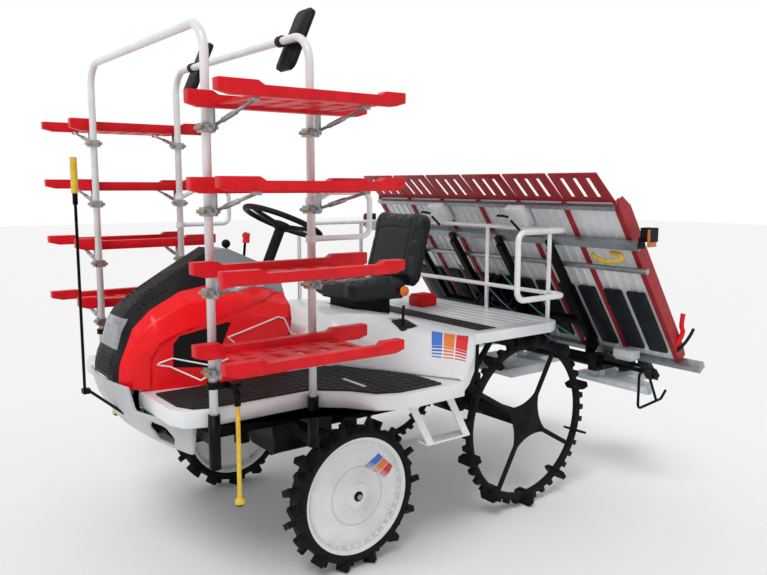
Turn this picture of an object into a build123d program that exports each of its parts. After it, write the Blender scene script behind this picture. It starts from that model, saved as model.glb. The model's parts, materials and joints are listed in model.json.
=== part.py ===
from build123d import *
import math
import os

# Six-row riding rice transplanter, in millimetres.
# It is drawn with +Z up, facing -Y, +X its left-hand side, Y 0 at the front axle, Z 0 on the ground.
# At the end every piece moves along Y, so that the origin lies under the middle of the machine.

# Front wheels
front_wheel_radius = 325.0
front_track_half = 590.0
front_tyre_half = 46.0
front_carcass_radius = 293.0
front_rim_radius = 246.0
front_lugs_per_side = 14
front_lug_width = 26.0
front_lug_lean = 32.0
front_hub_radius = 48.0
front_stub_radius = 20.0

# Rear wheels
wheelbase = 1070.0
rear_wheel_radius = 450.0
rear_track_half = 585.0
rear_ring_radius = 392.0
rear_ring_tube = 19.0
rear_blades = 10
rear_blade_half = 64.0
rear_teeth_per_gap = 3
rear_tooth_radius = 429.0
rear_spokes = 4
rear_spoke_turn = 60.0
rear_spoke_radius = 12.0
rear_plate_radius = 165.0
rear_hub_radius = 46.0
rear_stub_radius = 22.0

# Axles and steering
kingpin_half = 462.0
kingpin_radius = 24.0
kingpin_case_radius = 42.0
kingpin_joint_z = 452.0
front_beam_z = 500.0
front_beam_radius = 44.0
rear_beam_radius = 42.0
rear_beam_half = 500.0
steering_arm_length = 120.0
running_gap = 0.3
body_gap = 5.0

# Frame
rail_half = 200.0
rail_width = 40.0
rail_bottom_z = 560.0
rail_top_z = 620.0
rail_front_y = -650.0
rail_rear_y = wheelbase + 30.0

# Floor and bodywork
floor_top_z = 813.0
floor_bottom_z = 750.0
floor_wall = 10.0
floor_front_y = -770.0
floor_half = 615.0
floor_flare_half = 872.0
floor_flare_start_y = -225.0
floor_flare_full_y = 50.0
floor_rear_y = 385.0
floor_corner_radius = 100.0
mat_height = 8.0
bonnet_wall = 10.0
bonnet_crease = 5.0
deck_top_z = 955.0
deck_front_y = 640.0
deck_rear_y = wheelbase + 180.0
deck_half = 655.0
deck_skirt = 50.0
deck_slats = 6
cover_wall = 10.0
cover_front_half = 236.0
bumper_bottom_z = 620.0
bumper_top_z = 850.0
bumper_rear_y = -672.0
guard_y = deck_rear_y - 58.0
guard_half = 600.0
guard_middle_x = 160.0
guard_top_z = 1416.0
guard_low_z = 1095.0
guard_hoop_x = 705.0
guard_hoop_y = guard_y - 337.0
guard_tube = 11.0

# Seedling racks
hoop_ys = (-652.0, -231.0)
hoop_half = 648.0
hoop_top_z = 2194.0
hoop_tube = 16.0
hoop_bend = 110.0
hoop_foot_z = 804.0
socket_bottom_z = 600.0
socket_radius = 22.0
clamp_first_z = 962.0
clamp_step_z = 289.0
shelf_levels = 4
shelf_inner_x = 682.0
shelf_outer_x = 1052.0
shelf_beam = 42.0
shelf_height = 34.0
shelf_raise = 13.0
shelf_lip = 9.0
shelf_deck = 10.0
shelf_front_y = -647.0
shelf_rear_y = -179.0
shelf_rise = 73.0

# Seat and steering wheel
seat_post_y = 450.0
seat_foot_z = 930.0
seat_half = 215.0
seat_front_y = 270.0
seat_depth = 360.0
seat_bottom_z = 1082.0
seat_thickness = 85.0
back_height = 400.0
back_thickness = 85.0
back_lean = 14.0
steer_y = 10.0
steer_z = 1462.0
steer_lean = 24.0
steer_rim = 185.0
steer_rim_tube = 13.0

# Lift linkage
lift_y = wheelbase - 10.0
lift_z = 520.0
link_length = 589.0
link_raised = 50.6
link_spacing = 120.0
link_half_height = 16.0
link_plate = 16.0
link_x = 130.0
lift_pin = 12.0
horn_length = 130.0
horn_turn = 70.0
cylinder_x = -75.0
cylinder_y = lift_y - 420.0
cylinder_z = 620.0
cylinder_length = 215.0
cylinder_radius = 26.0
cylinder_rod = 11.0

# Planting unit
lanes = 6
lane_pitch = 300.0
tray_shift = 100.0
tray_angle = 55.0
tray_top_y = lift_y + 115.0
tray_top_z = 1558.0
tray_length = 990.0
divider_width = 24.0
ribs_per_lane = 4
plate_length = 190.0
plate_angle = 43.0
rail_overhang = 125.0
slide_rail_half = lanes * lane_pitch / 2 + tray_shift + rail_overhang
cross_bar_half = slide_rail_half - 55.0
tray_foot_y = tray_top_y + tray_length * math.cos(math.radians(tray_angle))
tray_foot_z = tray_top_z - tray_length * math.sin(math.radians(tray_angle))
beam_y = tray_foot_y - 142.0
beam_z = tray_foot_z - 57.0
beam_radius = 34.0
case_pitch = 600.0
case_half = 26.0
upright_outer = 550.0
upright_inner = 190.0
rotor_y = tray_foot_y + 132.0
rotor_z = tray_foot_z - 107.0
rotor_shaft = 11.0
rotor_offset = 128.0
rotor_reach = 112.0
float_bottom_z = beam_z - 145.0
float_height = 55.0

# Markers and steps
mast_y = -925.0
mast_z = 795.0
mast_top_z = 1735.0
side_marker_x = 705.0
side_marker_y = -585.0
side_marker_z = 915.0
side_marker_length = 440.0
step_x = 800.0
step_foot_z = 555.0


def block(x0, x1, y0, y1, z0, z1):
    """A box between two corners, given in any order."""
    place = Pos((x0 + x1) / 2, (y0 + y1) / 2, (z0 + z1) / 2)
    return place * Box(abs(x1 - x0), abs(y1 - y0), abs(z1 - z0))


def rod(start, end, radius):
    """A round bar from one point to another."""
    run = Vector(*end) - Vector(*start)
    return Solid.make_cylinder(radius, run.length, Plane(origin=start, z_dir=run))


def pipe(points, radius, bend):
    """A round bar along straight runs joined by arcs of one radius."""
    path = FilletPolyline(*points, radius=bend)
    section = Plane(origin=path @ 0, z_dir=path % 0) * Circle(radius)
    return sweep(section, path=path)


def side_plate(points, x0, x1):
    """An outline in Y and Z, carried across from one X to another."""
    low = min(x0, x1)
    outline = make_face(Polyline(*[(low, y, z) for y, z in points], close=True))
    return extrude(outline, amount=abs(x1 - x0), dir=(1, 0, 0))


def flat_plate(points, z0, z1):
    """An outline in X and Y, carried up."""
    outline = make_face(Polyline(*[(x, y, z0) for x, y in points], close=True))
    return extrude(outline, amount=z1 - z0, dir=(0, 0, 1))


def front_plate(points, y0, y1):
    """An outline in X and Z, carried back."""
    outline = make_face(Polyline(*[(x, y0, z) for x, z in points], close=True))
    return extrude(outline, amount=y1 - y0, dir=(0, 1, 0))


def other_side(shape):
    """The mirror image on the right-hand side."""
    return mirror(shape, about=Plane.YZ)


def fuse(shapes):
    """One solid from several that touch."""
    first, *rest = list(shapes)
    return first.fuse(*rest)


def group(shapes):
    """Several solids that don't touch, in one piece."""
    return Compound([solid for shape in shapes for solid in shape.solids()])


def polar(y, z, length, degrees):
    """The point at a distance and an angle from another, in the side view."""
    turn = math.radians(degrees)
    return y + length * math.cos(turn), z + length * math.sin(turn)


def spun(points):
    """A ring or disc from an outline of (radius, height) points, about the X axis."""
    outline = make_face(Polyline(*[(r, 0, h) for r, h in points], close=True))
    return Rot(0, 90, 0) * revolve(outline, Axis.Z)


# Frame and axles


def main_frame():
    parts = []
    for side in (-1, 1):
        inner = side * (rail_half - rail_width / 2)
        outer = side * (rail_half + rail_width / 2)
        parts.append(block(inner, outer, rail_front_y, rail_rear_y, rail_bottom_z, rail_top_z))
        strap = block(side * (rail_half - 8), side * (rail_half + 8), wheelbase - 50, wheelbase + 30, 440, 570)
        hole = rod((side * 150, wheelbase, 450), (side * 250, wheelbase, 450), rear_beam_radius + running_gap)
        parts.append(strap.cut(hole))
        boss_inner = side * (link_x + link_plate / 2 + body_gap)
        parts.append(block(boss_inner, inner + side * 5, lift_y - 35, lift_y + 35, lift_z - 22, rail_top_z - 20))
        pin_inner = (side * (link_x - link_plate / 2), lift_y, lift_z)
        parts.append(rod(pin_inner, (inner, lift_y, lift_z), lift_pin))
        deck_post_y = rail_rear_y - 30
        parts.append(block(inner, outer, deck_post_y - 15, deck_post_y + 15, rail_top_z, deck_top_z - 25))
        parts.append(block(inner, outer, seat_post_y - 15, seat_post_y + 15, rail_top_z, seat_foot_z))
        mast = side_plate(
            [
                (lift_y - 150, rail_top_z - 30),
                (lift_y - 110, rail_top_z - 30),
                (lift_y - 20, lift_z + link_spacing - 32),
                (lift_y + 24, lift_z + link_spacing - 20),
                (lift_y + 24, lift_z + link_spacing + 20),
                (lift_y - 24, lift_z + link_spacing + 20),
                (lift_y - 150, rail_top_z + 10),
            ],
            side * (20 + body_gap),
            side * (28 + body_gap),
        )
        parts.append(mast)
        lug_x = cylinder_x + side * (12 + body_gap)
        lug_outer = lug_x + side * 8
        parts.append(block(lug_x, lug_outer, cylinder_y - 40, cylinder_y + 16, cylinder_z - 20, cylinder_z + 18))
    pin_half = 28 + body_gap
    parts.append(rod((-pin_half, lift_y, lift_z + link_spacing), (pin_half, lift_y, lift_z + link_spacing), lift_pin))
    lug_half = 20 + body_gap
    parts.append(rod((cylinder_x - lug_half, cylinder_y, cylinder_z), (cylinder_x + lug_half, cylinder_y, cylinder_z), 8.0))
    parts.append(block(-rail_half, rail_half, seat_post_y - 15, seat_post_y + 15, seat_foot_z - 24, seat_foot_z))
    for y in (rail_front_y + 20, hoop_ys[1], 300.0, cylinder_y - 50):
        parts.append(block(-rail_half, rail_half, y - 20, y + 20, rail_bottom_z + 5, rail_top_z))
    parts.append(block(-rail_half, rail_half, lift_y - 150, lift_y - 110, rail_bottom_z + 5, rail_top_z - 20))
    return fuse(parts)


def frame_arms():
    arms = []
    arm_low = floor_bottom_z - 60
    for side in (-1, 1):
        inner = side * (rail_half - rail_width / 2)
        outer = side * (rail_half + rail_width / 2)
        horn = block(inner, outer, rail_front_y - 200, rail_front_y, 640, 690) & bumper_form(12 + running_gap)
        foot = block(inner, outer, bumper_rear_y + running_gap, rail_front_y, rail_bottom_z + 20, 690)
        arms.append(fuse([horn, foot]))
        for y in hoop_ys:
            tip = side * (hoop_half - socket_radius + 2)
            post_x = side * 420
            parts = [
                block(outer, tip, y - 14, y + 14, arm_low, arm_low + 40),
                block(inner, outer, y - 14, y + 14, rail_top_z, arm_low + 40),
                block(post_x - 14, post_x + 14, y - 14, y + 14, arm_low + 40, floor_top_z - floor_wall),
            ]
            arms.append(fuse(parts))
    return group(arms)


def engine_block():
    return fillet(block(-150, 150, -640, -290, rail_top_z, 985).edges().filter_by(Axis.Z), 25)


def front_axle_case():
    parts = [
        fillet(block(-130, 130, -120, 190, 385, rail_bottom_z).edges().filter_by(Axis.Y), 30),
        block(-rail_half - 15, rail_half + 15, -45, 45, front_beam_z, rail_bottom_z),
        rod((-kingpin_half, 0, front_beam_z), (kingpin_half, 0, front_beam_z), front_beam_radius),
    ]
    for side in (-1, 1):
        x = side * kingpin_half
        parts.append(rod((x, 0, kingpin_joint_z + body_gap), (x, 0, rail_bottom_z + 5), kingpin_case_radius))
    body = fuse(parts)
    for side in (-1, 1):
        x = side * kingpin_half
        body = body.cut(rod((x, 0, 400), (x, 0, rail_bottom_z - 10), kingpin_radius + running_gap))
    return body


def rear_axle_case():
    parts = [
        rod((-rear_beam_half, wheelbase, 450), (rear_beam_half, wheelbase, 450), rear_beam_radius),
        fillet(block(-80, 80, wheelbase - 60, wheelbase + 60, 372, 488).edges().filter_by(Axis.X), 35),
        rod((0, 190, 450), (0, wheelbase, 450), 20),
    ]
    for side in (-1, 1):
        tip = side * (rear_track_half + 5)
        parts.append(rod((side * (rear_beam_half - 10), wheelbase, 450), (tip, wheelbase, 450), rear_stub_radius))
    return fuse(parts)


def knuckle():
    x = kingpin_half
    parts = [
        rod((x, 0, 270), (x, 0, kingpin_joint_z), kingpin_case_radius),
        rod((x, 0, 400), (x, 0, rail_bottom_z - 15), kingpin_radius),
        rod((x, 0, front_wheel_radius), (front_track_half, 0, front_wheel_radius), front_stub_radius),
        block(x - 18, x + 18, 0, steering_arm_length, kingpin_joint_z - 18, kingpin_joint_z),
    ]
    return fuse(parts)


# Wheels


def front_rim():
    half = front_tyre_half
    rim = front_rim_radius
    outline = [
        (0, 38),
        (56, 38),
        (62, 30),
        (180, 30),
        (228, 15),
        (rim - 9, 28),
        (rim - 2, half - 8),
        (rim + 8, half - 8),
        (rim + 8, half - 14),
        (rim, half - 18),
        (rim, 18 - half),
        (rim + 8, 14 - half),
        (rim + 8, 8 - half),
        (rim - 2, 8 - half),
        (rim - 9, 18 - half),
        (rim - 9, 8),
        (226, 6),
        (178, 20),
        (front_hub_radius, 20),
        (front_hub_radius, -50),
        (0, -50),
    ]
    bore = rod((-60, 0, 0), (5, 0, 0), front_stub_radius + running_gap)
    return Pos(front_track_half, 0, front_wheel_radius) * spun(outline).cut(bore)


def front_tyre():
    half = front_tyre_half
    rim = front_rim_radius
    outline = [
        (rim + 0.5, half - 19),
        (rim + 8.5, half - 15),
        (rim + 9, half - 6),
        (rim + 34, half),
        (front_carcass_radius, half - 12),
        (front_carcass_radius, 12 - half),
        (rim + 34, -half),
        (rim + 9, 6 - half),
        (rim + 8.5, 15 - half),
        (rim + 0.5, 19 - half),
    ]
    parts = [spun(outline)]
    depth = front_wheel_radius - front_carcass_radius + 12
    for side in (-1, 1):
        for index in range(front_lugs_per_side):
            turn = 360 / front_lugs_per_side * (index + (0.5 if side > 0 else 0))
            lug = Pos(side * half / 2, 0, depth / 2 - front_wheel_radius) * Rot(0, 0, side * front_lug_lean)
            parts.append(Rot(turn, 0, 0) * lug * Box(half + 8, front_lug_width, depth))
    return Pos(front_track_half, 0, front_wheel_radius) * fuse(parts)


def rear_wheel():
    plate_half = 5.0
    ring = Rot(8, 0, 0) * Rot(0, 90, 0) * Torus(rear_ring_radius, rear_ring_tube)
    hub = rod((-60, 0, 0), (22, 0, 0), rear_hub_radius)
    pitch = 360 / rear_spokes
    turns = [rear_spoke_turn + pitch * index for index in range(rear_spokes)]
    star = side_plate([polar(0, 0, rear_plate_radius, turn) for turn in turns], -plate_half, plate_half)
    for turn in turns:
        # each side of the plate is hollowed by a wide arc
        hollow = polar(0, 0, 1.865 * rear_plate_radius, turn + pitch / 2)
        star = star.cut(rod((-20, *hollow), (20, *hollow), 1.32 * rear_plate_radius))
    parts = [ring, hub, star]
    for turn in turns:
        inner = polar(0, 0, rear_plate_radius - 45, turn)
        outer = polar(0, 0, rear_ring_radius, turn)
        parts.append(rod((0, *inner), (0, *outer), rear_spoke_radius))
    tip = rear_wheel_radius
    blade = [
        (0.5 * rear_blade_half, rear_ring_radius - 27),
        (rear_blade_half, rear_ring_radius - 4),
        (rear_blade_half, tip - 28),
        (0.62 * rear_blade_half, tip - 2),
        (-0.62 * rear_blade_half, tip - 2),
        (-rear_blade_half, tip - 28),
        (-rear_blade_half, rear_ring_radius - 4),
        (-0.5 * rear_blade_half, rear_ring_radius - 27),
    ]
    blade_plate = front_plate([(x, -r) for x, r in blade], -5, 5)
    tooth = Pos(0, 0, -(rear_tooth_radius + rear_ring_radius) / 2)
    tooth_box = Box(30, 26, rear_tooth_radius - rear_ring_radius)
    for index in range(rear_blades):
        start = 360 / rear_blades * index
        parts.append(Rot(start, 0, 0) * blade_plate)
        for notch in range(1, rear_teeth_per_gap + 1):
            turn = start + 360 / rear_blades * notch / (rear_teeth_per_gap + 1)
            parts.append(Rot(turn, 0, 0) * tooth * tooth_box)
    bore = rod((-70, 0, 0), (8, 0, 0), rear_stub_radius + running_gap)
    return Pos(rear_track_half, wheelbase, rear_wheel_radius) * fuse(parts).cut(bore)


# Bodywork


def bonnet_solid(inset):
    """The bonnet's outer form, or a form at a depth inside it, from the nose to the dash."""
    base = floor_top_z
    # y, then half-width and height of the base, belt, cheek, strip edge and ridge
    sections = [
        (-848, (120, 852), (116, 872), (110, 890), (100, 904), (60, 912)),
        (-826, (165, 838), (160, 880), (154, 910), (146, 932), (80, 966)),
        (-800, (202, 826), (194, 905), (176, 955), (150, 985), (84, 1072)),
        (-770, (216, 820), (206, 955), (184, 1020), (148, 1058), (80, 1118)),
        (-695, (238, base), (226, 1010), (194, 1086), (142, 1126), (74, 1180)),
        (-560, (264, base), (246, 1056), (208, 1148), (130, 1192), (66, 1262)),
        (-385, (276, base), (254, 1075), (212, 1166), (122, 1215), (62, 1360)),
        (-300, (276, base), (254, 1075), (212, 1160), (122, 1206), (66, 1354)),
        (-60, (266, base), (250, 1040), (226, 1100), (150, 1150), (90, 1243)),
    ]
    faces = []
    for y, *half in sections:
        y_in = y + inset if y == sections[0][0] else y
        low = (half[0][0] - inset, half[0][1] - (1 if inset else 0))
        side = [low, (half[1][0] - inset, half[1][1])]
        side += [(x - inset, z - inset) for x, z in half[2:]]
        points = [(x, y_in, z) for x, z in side] + [(-x, y_in, z) for x, z in reversed(side)]
        faces.append(make_face(Polyline(*points, close=True)))
    rear = [(-125, 700), (-125, base), (-72, 1140), (-72, 1600), (100, 1600), (100, 700)]
    return loft(faces, ruled=True).cut(side_plate([(y - inset, z) for y, z in rear], -400, 400))


def side_panel(side):
    """The sunk panel on one side of the bonnet, a thin layer under the arched crease."""
    crease = [(-735, 700), (-731, 816), (-721, 942), (-686, 998), (-601, 1041), (-330, 1110), (-60, 1172), (-60, 700)]
    layer = bonnet_solid(0).cut(bonnet_solid(bonnet_crease))
    return layer & side_plate(crease, side * 150, side * 320)


def vent(side, margin):
    outline = [(-640, 900), (-634, 994), (-606, 1026), (-408, 1062), (-386, 1060), (-440, 948), (-474, 880)]
    middle_y = sum(y for y, z in outline) / len(outline)
    middle_z = sum(z for y, z in outline) / len(outline)
    wider = [(y + math.copysign(margin, y - middle_y), z + math.copysign(margin, z - middle_z)) for y, z in outline]
    return side_plate(wider, side * 150, side * 320)


def bonnet_shell():
    shell = bonnet_solid(0).cut(bonnet_solid(bonnet_wall))
    for side in (-1, 1):
        shell = shell.cut(side_panel(side), vent(side, 0))
    return shell


def vent_screens():
    layer = bonnet_solid(bonnet_wall).cut(bonnet_solid(bonnet_wall + 4))
    return [layer & vent(1, 8), layer & vent(-1, 8)]


def strip_zone():
    half = [(150, -900), (150, -800), (148, -770), (142, -695), (130, -560), (122, -385), (122, -300)]
    return flat_plate([(-x, y) for x, y in reversed(half)] + half, 840, 1500)


def dash_zone():
    return side_plate([(-385, 1215), (-385, 1500), (0, 1500), (0, 1125), (-215, 1190)], -300, 300)


def lamp_zone():
    return block(-106, 106, -900, -740, 972, 1094)


def bonnet():
    return bonnet_shell().cut(strip_zone(), dash_zone())


def bonnet_centre():
    strip = bonnet_shell() & strip_zone()
    return group([strip.cut(dash_zone(), lamp_zone()), *vent_screens()])


def headlamps():
    return bonnet_shell() & lamp_zone()


def dash_cover():
    return bonnet_shell() & dash_zone()


def floor_outline(inset, z0, z1):
    """The floor's plan, with its square front and the wider step at the back."""
    half = floor_half - inset
    flare = floor_flare_half - inset
    front = floor_front_y + inset
    rear = floor_rear_y - (0 if z1 == floor_top_z else inset)
    round_r = floor_corner_radius
    left = [
        (half - round_r, front),
        (half - round_r * 0.29, front + round_r * 0.29),
        (half, front + round_r),
        (half, floor_flare_start_y),
        (half + 0.42 * (flare - half), floor_flare_start_y + 120),
        (flare - 50, floor_flare_full_y - 90),
        (flare - 10, floor_flare_full_y - 10),
        (flare, floor_flare_full_y + 80),
        (flare - 8, rear),
    ]
    return flat_plate([(-x, y) for x, y in reversed(left)] + left, z0, z1)


def floor_panel():
    shell = floor_outline(0, floor_bottom_z, floor_top_z)
    shell = shell.cut(floor_outline(floor_wall, floor_bottom_z - 1, floor_top_z - floor_wall))
    engine_hole = block(-190, 190, -800, -240, floor_bottom_z - 5, floor_top_z + 5)
    tunnel = block(-230, 230, 60, 600, floor_bottom_z - 5, floor_top_z + 5)
    return shell.cut(engine_hole, tunnel)


def floor_mats():
    edge = floor_half - 22
    points = [
        (292, -735),
        (500, -735),
        (570, -700),
        (edge, -640),
        (edge, floor_flare_start_y + 10),
        (edge + 0.42 * (floor_flare_half - floor_half), floor_flare_start_y + 135),
        (floor_flare_half - 72, floor_flare_full_y - 80),
        (floor_flare_half - 34, floor_flare_full_y + 10),
        (floor_flare_half - 32, floor_rear_y - 110),
        (665, floor_rear_y - 113),
        (545, 220),
        (455, 165),
        (340, 115),
        (292, 40),
    ]
    mat = flat_plate(points, floor_top_z, floor_top_z + mat_height)
    return group([mat, other_side(mat)])


def bumper_section(z, nose_y, half, corner_y, inset):
    half = half - inset
    rear = bumper_rear_y
    lines = Polyline((-half, corner_y + inset, z), (-half, rear, z), (half, rear, z), (half, corner_y + inset, z))
    front = ThreePointArc((half, corner_y + inset, z), (0, nose_y + inset, z), (-half, corner_y + inset, z))
    return make_face(lines + front)


def bumper_form(inset):
    """The bumper's outer form, or the form inside its wall."""
    # z, nose y, half-width, corner y
    sections = [
        (bumper_bottom_z + (inset and 10), -752, 520, -690),
        (735, -828, 548, -700),
        (bumper_top_z + (inset and 1), -862, 552, -705),
    ]
    return loft([bumper_section(*row, inset) for row in sections], ruled=True)


def bumper():
    shell = bumper_form(0).cut(bumper_form(12))
    shell = shell.cut(bonnet_solid(0))
    hook_pocket = [(300, 640), (420, 640), (435, 670), (410, 712), (330, 722), (292, 690)]
    for side in (-1, 1):
        shell = shell.cut(block(side * 242, side * 700, -900, -600, floor_bottom_z, 900))
        shell = shell.cut(front_plate([(side * x, z) for x, z in hook_pocket], -900, -700))
    return shell


def cover_loft(rows, inset, first, last):
    """A moulding from sections across the machine, or the form inside its wall."""
    faces = []
    for y, outer, low, edge, shoulder, crown in rows:
        y_in = y + first if y == rows[0][0] else y - last if y == rows[-1][0] else y
        side = [
            (outer - inset, low - (30 if inset else 0)),
            (outer - inset, edge - inset),
            (shoulder[0] - inset, shoulder[1] - inset),
            (crown[0] - inset, crown[1] - inset),
        ]
        points = [(x, y_in, z) for x, z in side] + [(-x, y_in, z) for x, z in reversed(side)]
        faces.append(make_face(Polyline(*points, close=True)))
    return loft(faces, ruled=True)


def cover_rows():
    base = floor_top_z
    seam_y = floor_rear_y + running_gap
    deck_y = deck_front_y
    # y, half-width, lower edge, upper edge, then half-width and height of the shoulder and crown
    hump = [
        (-95, cover_front_half, base, 824, (226, 845), (205, 850)),
        (-62, 240, base, 824, (232, 885), (208, 908)),
        (10, 246, base, 824, (238, 958), (205, 988)),
        (110, 300, base, 824, (272, 985), (225, 1035)),
        (200, 490, base, 824, (385, 952), (275, 1044)),
        (300, 690, base, 824, (520, 915), (295, 1036)),
        (seam_y, floor_flare_half - 20, base, 824, (600, 902), (312, 1024)),
    ]
    riser = [
        (seam_y, floor_flare_half - 20, floor_bottom_z, 824, (600, 902), (312, 1024)),
        (450, 822, 776, 852, (650, 922), (332, 1010)),
        (530, 768, 810, 888, (672, 940), (362, 994)),
        (600, 700, 856, 934, (662, deck_top_z - 4), (400, deck_top_z + 22)),
        (deck_y, deck_half, deck_top_z - deck_skirt, deck_top_z - 3, (630, deck_top_z), (430, deck_top_z + 6)),
    ]
    return hump, riser


def cover_form():
    hump, riser = cover_rows()
    return fuse([cover_loft(hump, 0, 0, 0), cover_loft(riser, 0, 0, 0)])


def rear_cover():
    hump, riser = cover_rows()
    outer = cover_form()
    shell = outer.cut(cover_loft(hump, 12, 14, 0), cover_loft(riser, 12, 0, 0))
    well = block(-118, 118, seat_front_y + 60, seat_front_y + seat_depth - 60, 940, 1100)
    slot = block(330, 440, 380, 480, 900, 1100)
    return shell.cut(well, slot)


def deck_outline(inset, z0, z1):
    half = deck_half - inset
    rear = deck_rear_y - inset
    corner = 90
    points = [
        (-half, deck_front_y),
        (half, deck_front_y),
        (half, rear - corner),
        (half - corner * 0.3, rear - corner * 0.3),
        (half - corner, rear),
        (corner - half, rear),
        (corner * 0.3 - half, rear - corner * 0.3),
        (-half, rear - corner),
    ]
    return flat_plate(points, z0, z1)


def rear_deck():
    shell = deck_outline(0, deck_top_z - deck_skirt, deck_top_z)
    shell = shell.cut(deck_outline(12, deck_top_z - deck_skirt - 1, deck_top_z - 25))
    shell = shell.cut(block(-170, 170, deck_front_y - 5, deck_front_y + 20, deck_top_z - 100, deck_top_z - 25))
    shell = shell.cut(block(-170, 170, deck_rear_y - 20, deck_rear_y + 20, deck_top_z - 100, deck_top_z - 25))
    slot_pitch = (deck_rear_y - deck_front_y - 240) / deck_slats
    for index in range(deck_slats):
        y = deck_front_y + 190 + slot_pitch * index
        shell = shell.cut(block(-deck_half + 70, deck_half - 70, y, y + 16, deck_top_z - 12, deck_top_z + 5))
    return shell


def guard_rail():
    tube = guard_tube
    near_end = guard_hoop_x - 60
    parts = []
    for z in (guard_low_z, guard_top_z):
        parts.append(rod((-guard_half, guard_y, z), (near_end, guard_y, z), tube))
    for x in (-guard_half, guard_middle_x, guard_half):
        parts.append(rod((x, guard_y, deck_top_z), (x, guard_y, guard_top_z), tube))
    near = [
        (near_end - 40, guard_y, guard_top_z),
        (guard_hoop_x, guard_y, guard_top_z),
        (guard_hoop_x, guard_hoop_y, guard_top_z),
        (guard_hoop_x, guard_hoop_y, guard_low_z),
        (guard_hoop_x, guard_y, guard_low_z),
        (near_end - 40, guard_y, guard_low_z),
    ]
    parts.append(pipe(near, tube + 3, 45))
    far_front_y = seat_post_y
    far = [
        (-guard_half, guard_y, guard_top_z),
        (-guard_half, far_front_y, guard_top_z),
        (-guard_half, far_front_y, floor_top_z + 60),
    ]
    parts.append(pipe(far, tube, 60).cut(cover_form()))
    far_middle_y = deck_front_y + 240
    parts.append(rod((-guard_half, far_middle_y, guard_top_z), (-guard_half, far_middle_y, deck_top_z), tube))
    return fuse(parts)


# Seat and controls


def seat_base():
    rear = seat_front_y + seat_depth
    parts = [
        block(-108, 108, seat_front_y + 70, rear - 70, seat_foot_z, seat_bottom_z - 12),
        block(-150, 150, seat_front_y + 50, rear - 20, seat_bottom_z - 16, seat_bottom_z),
    ]
    return fuse(parts)


def seat_cushion():
    rear = seat_front_y + seat_depth
    body = block(-seat_half, seat_half, seat_front_y, rear, seat_bottom_z, seat_bottom_z + seat_thickness)
    body = fillet(body.edges().filter_by(Axis.Z), 60)
    return fillet(body.faces().sort_by(Axis.Z)[-1].edges(), 22)


def seat_back():
    width = 2 * seat_half - 10
    body = Box(width, back_thickness, back_height)
    body = fillet(body.edges().filter_by(Axis.Y), 70)
    body = fillet(body.faces().sort_by(Axis.Y)[0].edges(), 20)
    foot_y = seat_front_y + seat_depth + back_thickness / 2 - 26
    place = Pos(0, foot_y, seat_bottom_z + 30) * Rot(-back_lean, 0, 0) * Pos(0, 0, back_height / 2)
    body = place * body
    seam = running_gap
    rear = seat_front_y + seat_depth + seam
    clearance = block(-300, 300, 0, rear, 900, seat_bottom_z + seat_thickness + seam)
    return body.cut(clearance)


def steering_axis_point(distance):
    """A point below the steering wheel's hub along its column."""
    turn = math.radians(steer_lean)
    return (0, steer_y - distance * math.sin(turn), steer_z - distance * math.cos(turn))


def steering_column():
    tube = rod(steering_axis_point(41), steering_axis_point(420), 24)
    outer = tube.cut(rod(steering_axis_point(20), steering_axis_point(110), 10 + running_gap))
    return outer.cut(bonnet_solid(0))


def steering_wheel():
    rim = Rot(0, 0, 10) * Torus(steer_rim, steer_rim_tube)
    hub = rod((0, 0, -40), (0, 0, -4), 34)
    shaft = rod((0, 0, -97), (0, 0, -30), 10)
    parts = [rim, hub, shaft]
    for turn in (0, 120, 240):
        outline = [(15, -34), (15, -12), (steer_rim, 6), (steer_rim, -6)]
        spoke = side_plate([(-y, z) for y, z in outline], -11, 11)
        parts.append(Rot(0, 0, turn) * spoke)
    return Pos(0, steer_y, steer_z) * Rot(-steer_lean, 0, 0) * fuse(parts)


def control_levers():
    # x, y, foot z, top y, top z, knob radius
    rows = [(40, -222, 1250, -205, 1408, 15), (-70, -240, 1250, -250, 1366, 20)]
    levers = []
    for x, y, foot, top_y, top, knob in rows:
        stem = rod((x, y, foot), (x, top_y, top), 6)
        levers.append(fuse([stem, Pos(x, top_y, top) * Sphere(knob)]).cut(bonnet_solid(0)))
    return group(levers)


# Racks


def hoop(y):
    points = [
        (-hoop_half, y, hoop_foot_z),
        (-hoop_half, y, hoop_top_z),
        (hoop_half, y, hoop_top_z),
        (hoop_half, y, hoop_foot_z),
    ]
    return pipe(points, hoop_tube, hoop_bend)


def rack_sockets():
    sockets = []
    for side in (-1, 1):
        for y in hoop_ys:
            x = side * hoop_half
            socket = rod((x, y, socket_bottom_z), (x, y, hoop_foot_z), socket_radius)
            inner = side * (hoop_half - socket_radius + 2)
            clear = block(inner, side * 500, y - 40, y + 40, 500, 900)
            sockets.append(socket.cut(clear))
    return group(sockets)


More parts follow.
